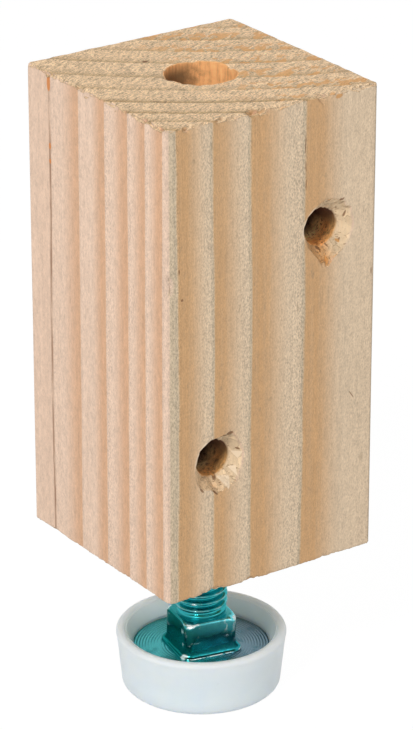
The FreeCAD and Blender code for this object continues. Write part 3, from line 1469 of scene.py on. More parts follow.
    def _wear(self, points: np.ndarray, outline: np.ndarray, outwards: np.ndarray) -> None:
        """Move the skin's points in for relief and for broken edges.

        Args:
            points: The skin's rings, changed in place.
            outline: Points round the block's section.
            outwards: Outward direction at each of them.
        """
        flush = points.copy()
        inset = np.einsum("rpk,pk->rp", outline[None] - flush[..., :2], outwards)
        from_axis = np.hypot(flush[..., 0], flush[..., 1])
        sunk = self.ring_relief * (1.0 - self.rings.dark(flush))
        sunk += self.fibre_relief * (1.0 + self.fibre_noise.at(flush))
        sunk += self._nick_depth(flush)
        points[..., :2] -= np.where(inset < TOUCH, sunk, 0.0)[..., None] * outwards[None]
        on_top = (self.top - flush[..., 2] < TOUCH) & (from_axis > self.bore_radius - TOUCH)
        strokes = self.sawn_relief * (0.5 + 0.5 * self.stroke_noise.at(flush))
        points[..., 2] -= np.where(on_top, strokes, 0.0)

        rough = 1.0 + self.break_rough * self.break_noise.at(flush)
        ends = (
            (self.top, -1.0, self._edge_wear(outline, self.worn_top, self.top_seed), self.chips),
            (self.bottom, 1.0, self._edge_wear(outline, self.worn_base, self.base_seed), self.base_chips),
        )
        for level, inwards, usual, chips in ends:
            wear = np.maximum(usual, self._chip_wear(outline, chips))
            lost = np.clip(wear[None] * rough - inset - np.abs(flush[..., 2] - level), 0.0, None) / 2.0
            lost = np.where(from_axis > self.bore_radius + self.bore_margin, lost, 0.0)
            points[..., :2] -= lost[..., None] * outwards[None]
            points[..., 2] += inwards * lost
        self._break_rim(points, flush)

    def _edge_wear(self, outline: np.ndarray, worn: float, seed: float) -> np.ndarray:
        """Width that is broken off an end's edge.

        Args:
            outline: Points round the block's section.
            worn: Usual width.
            seed: Part of the noise to use.

        Returns:
            Width at each point, less on the two sides that the saw left clean.
        """
        spots = np.concatenate([outline, np.full((len(outline), 1), seed)], axis=1)
        fine = np.abs(MeshNoise(self.wear_fine_cells, seed).at(spots))
        broad = np.clip(MeshNoise(self.wear_broad_cells, seed + self.wear_broad_seed).at(spots), 0.0, 1.0)
        rough = outline.min(axis=1) < self.arris - self.half
        width = worn * (self.wear_base + self.wear_fine * fine + self.wear_broad * broad)
        return width * np.where(rough, 1.0, self.hidden_wear)

    def _chip_wear(self, outline: np.ndarray, chips: Sequence[Chip]) -> np.ndarray:
        """Width of the chips along an end's edge.

        Args:
            outline: Points round the block's section.
            chips: Chips of that end.

        Returns:
            Width at each point.
        """
        wear = np.zeros(len(outline))
        for chip in chips:
            own, other = chip.edge.value
            on_face = outline[:, other] < self.arris - self.half
            away = np.abs(outline[:, own] - chip.place) / chip.width
            depth = chip.depth * np.sqrt(np.clip(1.0 - away, 0.0, 1.0))
            wear = np.maximum(wear, np.where(on_face, depth, 0.0))
        return wear

    def _nick_depth(self, flush: np.ndarray) -> np.ndarray:
        """Depth of the nicks in the front arris.

        Args:
            flush: The skin's points before any wear.

        Returns:
            Depth at each point.
        """
        from_arris = np.hypot(flush[..., 0] + self.half, flush[..., 1] + self.half)
        near = np.clip(self.nick_width - from_arris, 0.0, 1.0)
        ragged = 1.0 + self.nick_rough * self.nick_noise.at(flush)
        depth = np.zeros(from_arris.shape)
        for nick in self.nicks:
            upright = np.clip(1.0 - ((flush[..., 2] - nick.height) / nick.reach) ** 2, 0.0, None)
            depth = np.maximum(depth, nick.depth * upright * near * ragged)
        return depth

    def _break_rim(self, points: np.ndarray, flush: np.ndarray) -> None:
        """Break the bore's top rim unevenly.

        Args:
            points: The skin's points, changed in place.
            flush: The same points before any wear.
        """
        reach = np.hypot(flush[..., 0], flush[..., 1])
        away = (reach - self.bore_radius) + (self.top - flush[..., 2])
        spots = flush * (self.bore_radius / reach)[..., None]
        share = np.clip(self.rim_base + self.rim_rough * self.rim_noise.at(spots), self.rim_least, 1.0)
        lost = np.clip(self.bore_rim * share - away, 0.0, None) / 2.0
        points[..., :2] += (lost / reach)[..., None] * flush[..., :2]
        points[..., 2] -= lost

    def _drill(self, mesh: bpy.types.Mesh) -> None:
        """Cut the screw holes through the skin.

        Args:
            mesh: Skin to cut.
        """
        work = bmesh.new()
        work.from_mesh(mesh)
        for hole in self.holes:
            front = self._open_mouth(work, hole, Side.FRONT)
            front = self._countersink(work, hole, front)
            back = self._open_mouth(work, hole, Side.BACK)
            back = self._sink_loop(work, hole, back, Side.BACK, hole.back_sink)
            bmesh.ops.bridge_loops(work, edges=front + back)
        bmesh.ops.recalc_face_normals(work, faces=work.faces)
        work.to_mesh(mesh)
        work.free()

    def _open_mouth(self, work: bmesh.types.BMesh, hole: ScrewHole, side: Side) -> list[bmesh.types.BMEdge]:
        """Remove the skin inside a hole's edge and pull what is left onto that edge.

        Args:
            work: Mesh to cut.
            hole: Hole to open.
            side: Face of the block.

        Returns:
            The open edges round the mouth.
        """
        wall, near = side.value * self.half * MM, self.on_face * MM
        gone = []
        for face in work.faces:
            centre = face.calc_center_median()
            if abs(centre.y - wall) >= near:
                continue
            if hole.distance(centre) < hole.edge(hole.angle(centre), side):
                gone.append(face)
        bmesh.ops.delete(work, geom=gone, context="FACES")
        loop = [edge for edge in work.edges if edge.is_boundary and abs(edge.verts[0].co.y - wall) < near]
        rim = {vertex for edge in loop for vertex in edge.verts}
        for vertex in rim:
            angle = hole.angle(vertex.co)
            edge = hole.edge(angle, side)
            vertex.co.x = (hole.across + edge * math.cos(angle)) * MM
            vertex.co.z = (hole.height + edge * math.sin(angle)) * MM
        beside = {edge.other_vert(vertex) for vertex in rim for edge in vertex.link_edges} - rim
        bmesh.ops.smooth_vert(work, verts=list(beside), factor=0.5, use_axis_x=True, use_axis_z=True)
        return loop

    def _countersink(self, work: bmesh.types.BMesh, hole: ScrewHole,
                     loop: list[bmesh.types.BMEdge]) -> list[bmesh.types.BMEdge]:
        """Grow the countersink and the hole's first stretch in from its mouth.

        Args:
            work: Mesh to grow.
            hole: Hole to grow.
            loop: Open edges round its mouth.

        Returns:
            The open edges at the inner end.
        """
        for share in np.linspace(0.0, 1.0, self.sink_rings + 1)[1:].tolist():
            depth = hole.sink * share ** self.sink_curve
            loop = self._sink_loop(work, hole, loop, Side.FRONT, depth, self.sink_rough, share)
        for depth in self.inner_depths:
            loop = self._sink_loop(work, hole, loop, Side.FRONT, depth, self.inner_rough)
        return loop

    def _sink_loop(self, work: bmesh.types.BMesh, hole: ScrewHole, loop: list[bmesh.types.BMEdge], side: Side,
                   depth: float, rough: float = 0.0, share: float = 1.0) -> list[bmesh.types.BMEdge]:
        """Extrude a hole's open edges inwards by one ring.

        Args:
            work: Mesh to grow.
            hole: Hole that the ring belongs to.
            loop: Open edges to extrude.
            side: Face of the block that the depth is counted from.
            depth: Depth of the new ring.
            rough: Height of the torn fibres.
            share: Share of the way from the mouth's edge to the drilled radius.

        Returns:
            The new open edges.
        """
        grown = bmesh.ops.extrude_edge_only(work, edges=loop)["geom"]
        fresh = {item for item in grown if isinstance(item, bmesh.types.BMVert)}
        across, inwards, up = self.fibre_cells
        for vertex in fresh:
            angle = hole.angle(vertex.co)
            reach = hole.edge(angle, side) * (1.0 - share) + hole.radius * share
            right, high = math.cos(angle), math.sin(angle)
            spot = (reach * right * across, depth * inwards, reach * high * up + hole.height)
            loose = self.least_torn + (1.0 - self.least_torn) * hole.torn(angle)
            torn = rough * loose * noise.noise(spot)
            vertex.co.x = (hole.across + (reach + torn) * right) * MM
            vertex.co.y = side.value * (self.half - max(self.least_depth, depth + torn)) * MM
            vertex.co.z = (hole.height + (reach + torn) * high) * MM
        return [item for item in grown if isinstance(item, bmesh.types.BMEdge) and set(item.verts) <= fresh]


# Levelling bolt


@dataclass(frozen=True)
class RubbedGlint:
    """A patch of the bolt worn bright and painted as a highlight: its middle, half its width and half its
    height.
    """

    place: Triple
    wide: float
    tall: float

    def share(self, spot: Field) -> Field:
        """Share of the patch at each place.

        Args:
            spot: Place in millimetres.

        Returns:
            1 in the patch's middle, 0 outside it.
        """
        offset = spot.vector("SUBTRACT", self.place)
        scale = (1.0 / self.wide, 1.0 / self.wide, 1.0 / self.tall)
        return offset.vector("MULTIPLY", scale).length().fall(0.5, 1.0)


@dataclass(frozen=True)
class BoltSpot:
    """A place on the bolt, its height above the disc, the pad and the neck's top, and how stained it is."""

    spot: Field
    across: Field
    along: Field
    away: Field
    above_disc: Field
    above_pad: Field
    above_neck: Field
    stain: Field


@dataclass(frozen=True)
class BlueZincFinish(Finish):
    """Glossy blue-green plate on steel: deep on the neck, paler on thread and disc, greyer on one side."""

    name: ClassVar[str] = "blue_zinc_plate"
    disc_z: float
    neck_z: float
    pad_z: float
    corner_reach: float
    crest_reach: float
    disc_bright: Colour = (0.085, 0.39, 0.405)
    disc_dull: Colour = (0.18, 0.24, 0.295)
    neck_green: Colour = (0.002, 0.19, 0.18)
    neck_blue: Colour = (0.015, 0.27, 0.31)
    neck_reflection: Colour = (0.12, 0.56, 0.62)
    thread: Colour = (0.02, 0.35, 0.38)
    stained: Colour = (0.0, 0.10, 0.13)
    rubbed_and_highlight: Colour = (0.82, 0.95, 0.96)
    edge_tint: Colour = (0.45, 0.77, 0.77)
    cloud: Texture = Texture((0.10, 0.10, 0.10), 2.0)
    stains: Texture = Texture((0.5, 0.5, 0.5), 4.0, 0.65)
    pimples: Texture = Texture((1.2, 1.2, 1.2), 2.0)
    pimple_depth: float = 0.012
    drift_side: Span = (0.82, -0.57)
    drift_wander: float = 6.0
    reflection_above_disc: float = 2.6
    reflection_below_neck: float = -0.6
    stain_share: float = 0.45
    roughness: float = 0.08
    stain_roughness: float = 0.12
    run_out_roughness: float = 0.28
    flare_end_pad: Span = (1.2, 2.0)
    flare_roughness: float = 0.14
    disc_roughness: float = 0.12
    coat: float = 0.06
    thread_coat: float = 0.20
    coat_roughness: float = 0.05
    highlight_matt: float = 0.65
    arris_width: float = 0.3
    upright_share: float = 0.7
    crest_share: float = 0.22
    # patches of bare metal placed where the bolt shows highlights, painted highlights as much as wear
    rubbed_glints: tuple[RubbedGlint, ...] = (
        RubbedGlint((-3.9, -3.0, 17.9), 0.9, 0.55), RubbedGlint((-6.3, -3.6, 8.0), 1.0, 0.7),
        RubbedGlint((-5.6, -3.3, 12.6), 0.5, 1.1),
    )

    def sockets(self, graph: NodeGraph) -> dict[str, Any]:
        """Plated metal whose tint drifts over the piece.

        Args:
            graph: Graph to add to.

        Returns:
            Values and links of the shader, by socket.
        """
        at = self._place(graph)
        rubbed_and_highlight = self._rubbed_and_highlight(at)
        return {
            # bare metal where the plate wears off edges, crests and patches, which also paints white
            # highlights; there the metal turns partly matt so that they read white
            "Base Color": Field.blend(self._plate(at), self.rubbed_and_highlight, rubbed_and_highlight),
            "Metallic": 1.0 - self.highlight_matt * rubbed_and_highlight.rise(0.3, 0.8),
            "Roughness": self.roughness + self.stain_roughness * at.stain + self._dulled(at),
            "Specular Tint": self.edge_tint,
            "Coat Weight": self.coat + self.thread_coat * at.above_neck.rise(-0.5, 0.0),
            "Coat Roughness": self.coat_roughness,
            "Normal": self.pimples.on(at.spot).bump(self.pimple_depth),
        }

    def _place(self, graph: NodeGraph) -> BoltSpot:
        """Place on the bolt.

        Args:
            graph: Graph to add to.

        Returns:
            The place, counted from the bolt's levels.
        """
        spot = graph.spot()
        across, along, height = spot.split()
        away = (across * across + along * along) ** 0.5
        levels = (height - self.disc_z, height - self.pad_z, height - self.neck_z)
        return BoltSpot(spot, across, along, away, *levels, self.stains.on(spot))

    def _plate(self, at: BoltSpot) -> Field:
        """Colour of the plate where it is whole.

        Args:
            at: Place on the bolt.

        Returns:
            The colour.
        """
        wander = self.cloud.on(at.spot).swing() * self.drift_wander
        drift = at.across * self.drift_side[0] + at.along * self.drift_side[1] + wander
        disc = Field.blend(self.disc_bright, self.disc_dull, drift.rise(-2.0, 9.0))
        # painted reflection: the neck's faces turn paler upwards, where they would mirror the cup's pale
        # inner wall
        top = self.neck_z - self.disc_z + self.reflection_below_neck
        blue = Field.blend(self.neck_blue, self.neck_reflection, at.above_disc.rise(self.reflection_above_disc, top))
        neck = Field.blend(self.neck_green, blue, drift.rise(-5.0, 3.0))
        tint = Field.blend(disc, neck, at.above_disc.rise(0.1, 0.5))
        tint = Field.blend(tint, self.thread, at.above_neck.rise(-0.1, 0.1))
        return Field.blend(tint, self.stained, at.stain.rise(0.50, 0.72) * self.stain_share)

    def _dulled(self, at: BoltSpot) -> Field:
        """Roughness that is added on the disc, on the neck's flare and where the thread runs out.

        Args:
            at: Place on the bolt.

        Returns:
            The added roughness.
        """
        run_out = at.above_neck.rise(-0.05, 0.05) * at.above_neck.fall(0.5, 0.9)
        flare = at.above_pad.rise(0.0, 0.1) * at.above_pad.fall(*self.flare_end_pad)
        disc = at.above_disc.fall(0.0, 0.1)
        dulled = self.run_out_roughness * run_out + self.flare_roughness * flare
        return dulled + self.disc_roughness * disc

    def _rubbed_and_highlight(self, at: BoltSpot) -> Field:
        """Share of bright metal, worn bare and painted as highlight, on edges, crests and patches.

        Args:
            at: Place on the bolt.

        Returns:
            Share from 0 to 1.
        """
        arris = at.away.rise(self.corner_reach - self.arris_width, self.corner_reach)
        arris = arris * at.above_neck.fall(-0.15, 0.0)
        upright = arris * at.above_pad.rise(*self.flare_end_pad) * at.stain.rise(0.54, 0.62)
        crest = at.away - self.crest_reach
        crests = crest.rise(-0.30, -0.05) * at.stain.rise(0.42, 0.58)
        crests = crests * at.above_neck.rise(0.1, 0.5)
        share = self._slanted(at, arris) + upright * self.upright_share + crests * self.crest_share
        for glint in self.rubbed_glints:
            share = share + glint.share(at.spot) * at.stain.rise(0.36, 0.50)
        return share.least(1.0)

    def _slanted(self, at: BoltSpot, arris: Field) -> Field:
        """Share of bare metal and painted highlight on the pad rim's slanted edges and the neck's upper
        corners.

        Args:
            at: Place on the bolt.
            arris: Share of the neck's corners.

        Returns:
            Share from 0 to 1.
        """
        _, _, facing_z = at.spot.graph.facing().split()
        slant = facing_z.rise(0.15, 0.35) * facing_z.fall(0.75, 0.92)
        rim = at.above_pad.rise(-0.30, -0.22) * at.above_pad.fall(0.0, 0.06)
        rim = rim * (0.0 - at.along).rise(3.5, 5.0)
        corner = arris * at.above_neck.rise(-1.4, -1.0)
        return slant * (rim * at.stain.rise(0.38, 0.48) + corner * at.stain.rise(0.44, 0.56))


@dataclass
class LevellingBolt:
    """The bolt that stands on its round head: thread, square neck, flare and turned disc."""

    places_round: int = 168
    corner_pull: float = 0.125
    corner_power: int = 4
    end_radii: tuple[float, ...] = (0.6, 2.0, 3.2)
    end_chamfer: float = 1.0
    pitch: float = 1.5
    thread_depth: float = 0.92
    thread_radius: float = 4.95
    thread_step: float = 0.1
    hidden_step: float = 0.24
    shown_thread: float = 17.0
    crest_level: float = 1.12
    flank_slope: float = 2.45
    run_out_radius: float = 4.6
    run_out: float = 2.0
    run_out_gap: float = 0.05
    neck_half: float = 5.3
    neck_corner: float = 1.5
    neck_turn: float = -11.0
    neck_edge: float = 0.45
    corner_edge: float = 0.75
    corner_ease: float = 0.5
    corner_share: float = 1.14
    neck_wobble: float = 0.10
    neck_noise: MeshNoise = MeshNoise((0.32, 0.32, 0.32), 17.0)
    shoulder_steps: int = 5
    edge_rings: int = 9
    neck_steps: int = 8
    flare_out: float = 0.55
    flare_up: float = 1.7
    flare_rings: int = 14
    ledge: float = 0.22
    pad_round: float = 0.22
    pad_height: float = 0.5
    pad_rings: int = 8
    pad_gap: float = 0.08
    disc_gap: float = 0.04
    disc_steps: int = 33
    disc_share: float = 1.75
    disc_step: float = 0.07
    flat_height: float = 5.0
    rim_round: Span = (0.35, 0.3)
    rim_rings: int = 5
    edge_height: float = 0.9
    dome_inset: float = 0.15
    dome_end: float = 0.6
    dome_step: float = 0.9
    groove_pitch: float = 0.55
    groove_depth: float = 0.07
    shoulder_height: float = 12.2

    def __post_init__(self) -> None:
        """Take the bolt's levels from the frame, and place points more closely at the neck's corners."""
        self.skin = RingSkin(RingEnds.POLES)
        low, high = box_mm("levelling_bolt")
        self.bottom, self.end = float(low[2]), float(high[2])
        self.head_radius = float(high[0])
        self.flat = self.bottom + self.flat_height
        self.pad_top = self.flat + self.pad_height
        self.neck_top = self.bottom + self.shoulder_height
        self.pad = self.neck_half + self.flare_out + self.ledge + self.pad_round
        even_turn = np.linspace(0.0, FULL_TURN, self.places_round, endpoint=False)
        corner = QUARTER_TURN / 2 + math.radians(self.neck_turn)
        self.angles = even_turn + corner - self.corner_pull * np.sin(NECK_SIDES * even_turn)
        self.at_corner = np.clip(np.cos(NECK_SIDES * (self.angles - corner)), 0.0, 1.0) ** self.corner_power
        self.edge = self.neck_edge + self.corner_edge * self.at_corner

    def build(self) -> bpy.types.Object:
        """Build and dress the bolt.

        Returns:
            The piece.
        """
        self._thread()
        self._neck()
        self._flare()
        self._head()
        mesh = self.skin.mesh("levelling_bolt_dressed", self.skin.points())
        reach = self.neck_half * self.corner_share
        finish = BlueZincFinish(self.flat, self.neck_top, self.pad_top, reach, self.thread_radius)
        return add_piece("plated_bolt", mesh, "bolt", "levelling_bolt", finish.material())

    def _square(self, half: np.ndarray | float, corner: np.ndarray | float) -> np.ndarray:
        """Rounded square of the neck.

        Args:
            half: Half the square's width.
            corner: Radius of its corners.

        Returns:
            Radius of the square at each angle.
        """
        eighth = QUARTER_TURN / 2
        slant = np.abs(np.mod(self.angles - math.radians(self.neck_turn) + eighth, QUARTER_TURN) - eighth)
        beside = eighth - slant
        centre = (half - corner) * math.sqrt(2.0)
        bulge = np.sqrt(np.clip(corner ** 2 - (centre * np.sin(beside)) ** 2, 0.0, None))
        rounded = centre * np.cos(beside) + bulge
        return np.where(half * np.tan(slant) > half - corner, rounded, half / np.cos(slant))

    def _grown(self, half: float) -> np.ndarray:
        """Radius of the neck's square at each angle, grown evenly to half a new width."""
        return self._square(half, self.neck_corner + half - self.neck_half)

    def _shrunk(self, inset: np.ndarray) -> np.ndarray:
        """Radius of the neck's square at each angle, drawn in by an inset."""
        return self._square(self.neck_half - inset, self.neck_corner - inset * self.corner_ease)

    def _thread_step(self, level: float) -> float:
        """Spacing of the thread's rings, coarser up in the block."""
        return self.thread_step if level < self.neck_top + self.shown_thread else self.hidden_step

    def _thread(self) -> None:
        """Add the bolt's end and its right-hand thread, from the top down."""
        for radius in self.end_radii:
            self.skin.add_polar(self.angles, radius, self.end)
        chamfer_z = self.end - self.end_chamfer
        for level in graded(self.end, self.neck_top + self.run_out_gap, self._thread_step):
            phase = np.mod(level / self.pitch - self.angles / FULL_TURN, 1.0)
            rise = eased(np.clip(self.crest_level - np.abs(phase - 0.5) * self.flank_slope, 0.0, 1.0))
            cone = self.thread_radius - max(0.0, level - chamfer_z)
            radius = np.minimum(self.thread_radius - self.thread_depth * (1.0 - rise), cone)
            kept = min(1.0, (level - self.neck_top) / self.run_out)
            radius = self.run_out_radius + (radius - self.run_out_radius) * kept
            self.skin.add_polar(self.angles, radius, level)

    def _neck(self) -> None:
        """Add the square neck from its shoulder down to its flare."""
        shoulder = self._shrunk(self.edge)
        for share in np.linspace(0.0, 1.0, self.shoulder_steps + 1)[1:-1]:
            radius = self.run_out_radius + (shoulder - self.run_out_radius) * share
            self.skin.add_polar(self.angles, radius, self.neck_top)
        for bend in np.linspace(QUARTER_TURN, 0.0, self.edge_rings):
            radius = self._shrunk(self.edge * (1.0 - math.cos(bend)))
            self._forged(radius, self.neck_top - self.edge * (1.0 - math.sin(bend)))
        start, flare_top = self.neck_top - self.edge, self.pad_top + self.flare_up
        side = self._grown(self.neck_half)
        for share in np.linspace(0.0, 1.0, self.neck_steps + 1)[1:-1]:
            self._forged(side, start + (flare_top - start) * share)

    def _flare(self) -> None:
        """Add the neck's flare and the rounded pad that it stands on."""
        centre = (self.neck_half + self.flare_out, self.pad_top + self.flare_up)
        for half, level in arc(centre, (self.flare_out, self.flare_up), 180.0, 270.0, self.flare_rings):
            self._forged(self._grown(half), np.full(len(self.angles), level))
        bend = self.pad_round
        rim = arc((self.pad - bend, self.pad_top - bend), (bend, bend), 90.0, 0.0, self.pad_rings)
        for half, level in (*rim, (self.pad, self.flat + self.pad_gap)):
            self.skin.add_polar(self.angles, self._grown(half), level)

    def _forged(self, radius: np.ndarray, height: np.ndarray) -> None:
        """Add a ring of the neck, from its radius and height, with the slight unevenness of a forging."""
        spots = np.stack([radius * np.cos(self.angles), radius * np.sin(self.angles), height], axis=-1)
        self.skin.add_polar(self.angles, radius + self.neck_wobble * self.neck_noise.at(spots), height)

    def _head(self) -> None:
        """Add the turned disc round the pad, its edge and the dome that it stands on."""
        start = self._grown(self.pad) + self.disc_gap
        middle = self.neck_half * self.disc_share
        rim = self.head_radius - self.rim_round[0]
        for share in np.linspace(0.0, 1.0, self.disc_steps + 1)[:-1]:
            self._turned(start + (middle - start) * share)
        for radius in even(middle, rim, self.disc_step):
            self._turned(np.full(len(self.angles), radius))
        edge = arc((rim, self.flat - self.rim_round[0]), self.rim_round, 90.0, 0.0, self.rim_rings)
        for radius, level in edge[1:]:
            self.skin.add_polar(self.angles, radius, level)
        sagitta = self.flat - self.edge_height - self.bottom
        dome = (self.head_radius ** 2 + sagitta ** 2) / (2.0 * sagitta)
        inner = even(self.head_radius - self.dome_inset, self.dome_end, self.dome_step)
        for radius in (self.head_radius, *inner):
            level = self.bottom + dome - math.sqrt(dome ** 2 - radius ** 2)
            self.skin.add_polar(self.angles, radius, level)

    def _turned(self, radius: np.ndarray) -> None:
        """Add a ring of the disc with the tool's fine concentric grooves."""
        wave = 0.5 - 0.5 * np.cos(FULL_TURN * radius / self.groove_pitch)
        self.skin.add_polar(self.angles, radius, self.flat - self.groove_depth * wave)


# Glide


@dataclass(frozen=True)
class WaxyPlasticFinish(Finish):
    """Natural white moulded plastic, a little waxy, with faint clouds and scuffs and one smudge."""

    name: ClassVar[str] = "waxy_white_plastic"
    tone: Colour = (0.80, 0.893, 0.96)
    shade: Colour = (0.77, 0.868, 0.942)
    scuff: Colour = (0.50, 0.52, 0.55)
    clouds: Texture = Texture((0.14, 0.14, 0.22), 3.0)
    peel: Texture = Texture((0.8, 0.8, 0.8), 3.0)
    peel_depth: float = 0.03
    scuffs: Texture = Texture((0.55, 0.55, 0.9), 4.0, 0.7)
    scuff_share: float = 0.35
    smudge: Triple = (-6.4, -14.1, 7.2)
    smudge_scale: Triple = (1.0, 1.0, 1.8)
    smudge_share: float = 0.7
    scuff_most: float = 0.6
    roughness: float = 0.46
    cloud_roughness: float = 0.16
    glow: float = 1.0
    glow_reach: Triple = (1.0, 0.93, 0.78)
    glow_depth: float = 4.6

    def sockets(self, graph: NodeGraph) -> dict[str, Any]:
        """Plastic that lets a little light through.

        Args:
            graph: Graph to add to.

        Returns:
            Values and links of the shader, by socket.
        """
        spot = graph.spot()
        cloud, peel = self.clouds.on(spot), self.peel.on(spot)
        colour = Field.blend(self.tone, self.shade, cloud.rise(0.35, 0.75))
        offset = spot.vector("SUBTRACT", self.smudge)
        near = offset.vector("MULTIPLY", self.smudge_scale).length().fall(0.15, 0.65)
        smudged = near * peel.rise(0.40, 0.60) * self.smudge_share
        marks = self.scuffs.on(spot).rise(0.70, 0.78) * self.scuff_share + smudged
        return {
            "Base Color": Field.blend(colour, self.scuff, marks.least(self.scuff_most)),
            "Roughness": self.roughness + self.cloud_roughness * cloud,
            "Normal": peel.bump(self.peel_depth),
            "Subsurface Weight": self.glow,
            "Subsurface Radius": self.glow_reach,
            "Subsurface Scale": self.glow_depth * MM,
        }


@dataclass
class GlideCup:
    """The moulded cup that snaps over the bolt's head."""

    places_round: int = 192
    draft: float = 6.0
    base_start: float = 1.0
    base_rings: int = 8
    base_round: float = 1.4
    base_round_rings: int = 9
    wall_start: float = 1.4
    wall_end: float = 1.2
    wall_rings: int = 10
    rim_round: float = 0.85
    rim_rings: int = 9
    rim_width: float = 1.8
    inner_share: float = 0.9
    inner_turn: Span = (95.0, 155.0)
    inner_rings: int = 7
    lead_in: float = 1.5
    lead_in_shares: Span = (0.12, 0.9)
    lead_in_rings: int = 10
    collar: float = 3.6
    lip_corners: tuple[Span, ...] = ((0.0, 0.25), (0.04, 0.06), (0.15, 0.0))
    pocket_radius: float = 13.4
    pocket_wall: float = 1.1
    floor: float = 2.4
    seat_inset: float = 0.4
    seat_end: float = 0.8
    seat_rings: int = 14
    wave: float = 0.05
    wave_noise: MeshNoise = MeshNoise((0.12, 0.12, 0.12), 5.0)
    lip_ragged: float = 0.14
    lip_noise: MeshNoise = MeshNoise((0.7, 0.7, 0.5), 9.0)
    lip_reach: float = 0.5
    lip_least: float = -0.02
    still_radius: float = 1.5

    def __post_init__(self) -> None:
        """Take the cup's size from the frame."""
        _, high = box_mm("glide_cup")
        self.rim_outer, self.rim_z = float(high[0]), float(high[2])
        self.lip_z = self.rim_z - self.collar

    def build(self) -> bpy.types.Object:
        """Build and dress the cup.

        Returns:
            The piece.
        """
        angles = np.linspace(0.0, FULL_TURN, self.places_round, endpoint=False)
        skin = RingSkin(RingEnds.POLES)
        for radius, level in self._outside() + self._inside():
            uneven = self._uneven(angles, radius, level) if radius > self.still_radius else radius
            skin.add_polar(angles, uneven, level)
        mesh = skin.mesh("glide_cup_dressed", skin.points())
        finish = WaxyPlasticFinish()
        return add_piece("white_glide", mesh, "glide", "glide_cup", finish.material())

    def _uneven(self, angles: np.ndarray, radius: float, level: float) -> np.ndarray:
        """Radius of a ring with the moulding's slight waves and its ragged lip.

        Args:
            angles: Angles of the ring's points.
            radius: Even radius.
            level: Height of the ring.

        Returns:
            Radius at each angle.
        """
        height = np.full(len(angles), level)
        spots = np.stack([radius * np.cos(angles), radius * np.sin(angles), height], axis=-1)
        wavy = radius - self.wave * (0.5 + 0.5 * self.wave_noise.at(spots))
        near_lip = math.exp(-((level - self.lip_z) / self.lip_reach) ** 2)
        ragged = self.lip_ragged * near_lip * self.lip_noise.at(spots)
        return wavy + np.maximum(ragged, self.lip_least)

    def _outside(self) -> list[Span]:
        """Section of the cup from under its base to the top of its rim.

        Returns:
            Radius and height of each ring.
        """
        slope = math.tan(math.radians(self.draft))
        base = self.rim_outer - self.rim_z * slope
        foot, rim = self.base_round, self.rim_round
        under = np.linspace(self.base_start, base - foot, self.base_rings).tolist()
        profile = [(radius, 0.0) for radius in under]
        centre = (base - foot + foot * slope, foot)
        profile += arc(centre, (foot, foot), -90.0, -self.draft, self.base_round_rings)[1:]
        low_z, high_z = self.wall_start * foot, self.rim_z - self.wall_end * rim
        levels = np.linspace(low_z, high_z, self.wall_rings).tolist()
        profile += [(base + level * slope, level) for level in levels]
        return profile + arc((self.rim_outer - rim, self.rim_z - rim), (rim, rim), 0.0, 90.0, self.rim_rings)

    def _inside(self) -> list[Span]:
        """Section of the cup from the top of its rim over the lip to its seat.

        Returns:
            Radius and height of each ring.
        """
        rim, inner = self.rim_round, self.rim_outer - self.rim_width
        across = rim * self.inner_share
        centre = (inner + across, self.rim_z - rim)
        profile = arc(centre, (across, rim), *self.inner_turn, self.inner_rings)
        for share in np.linspace(*self.lead_in_shares, self.lead_in_rings).tolist():
            profile.append((inner - self.lead_in * share, self.rim_z - self.collar * share))
        lip, seat_z = inner - self.lead_in, self.lip_z - self.pocket_wall
        profile += [(lip + out, self.lip_z + up) for out, up in self.lip_corners]
        profile += [(self.pocket_radius, self.lip_z), (self.pocket_radius, seat_z)]
        seat = np.linspace(self.pocket_radius - self.seat_inset, self.seat_end, self.seat_rings)
        for radius in seat.tolist():
            share = (radius / self.pocket_radius) ** 2
            profile.append((radius, self.floor + (seat_z - self.floor) * share))
        return profile


# Tee nut


@dataclass(frozen=True)
class BrightZincFinish(Finish):
    """Bright zinc plate with faint crystals."""

    name: ClassVar[str] = "bright_zinc_plate"
    bright: Colour = (0.74, 0.75, 0.77)
    dull: Colour = (0.55, 0.56, 0.58)
    crystals: Texture = Texture((0.7, 0.7, 0.7), 3.0, 0.7)
    crystal_depth: float = 0.02
    roughness: float = 0.26
    crystal_roughness: float = 0.2

    def sockets(self, graph: NodeGraph) -> dict[str, Any]:
        """Pale plated metal.

        Args:
            graph: Graph to add to.

        Returns:
            Values and links of the shader, by socket.
        """
        crystal = self.crystals.on(graph.spot())
        return {
            "Base Color": Field.blend(self.bright, self.dull, crystal.rise(0.35, 0.7)),
            "Metallic": 1.0,
            "Roughness": self.roughness + self.crystal_roughness * crystal,
            "Normal": crystal.bump(self.crystal_depth),
        }


@dataclass
class TeeNut:
    """The tee nut, which keeps its CAD shape."""

    node: bpy.types.Object

    def build(self) -> bpy.types.Object:
        """Dress the nut.

        Returns:
            The CAD node, in its finish.
        """
        self.node.data.materials.clear()
        self.node.data.materials.append(BrightZincFinish().material())
        LOG.info("tee_nut dressed")
        return self.node


# Studio


@dataclass(frozen=True)
class Lamp:
    """A soft square lamp, in metres, that lights a white surface facing it at the given level."""

    name: str
    place: Triple
    size: float
    level: float

    def build(self, aim: Vector) -> bpy.types.Object:
        """Add the lamp, aimed at a point.

        Args:
            aim: Point to light.

        Returns:
            The lamp.
        """
        place = Vector(self.place)
        distance = (aim - place).length
        data = bpy.data.lights.new(self.name, "AREA")
        data.size = self.size
        data.energy = self.level * math.pi ** 2 * distance ** 2
        lamp = bpy.data.objects.new(self.name, data)
        lamp.location = place
        lamp.rotation_euler = (aim - place).to_track_quat("-Z", "Y").to_euler()
        bpy.context.scene.collection.objects.link(lamp)
        return lamp


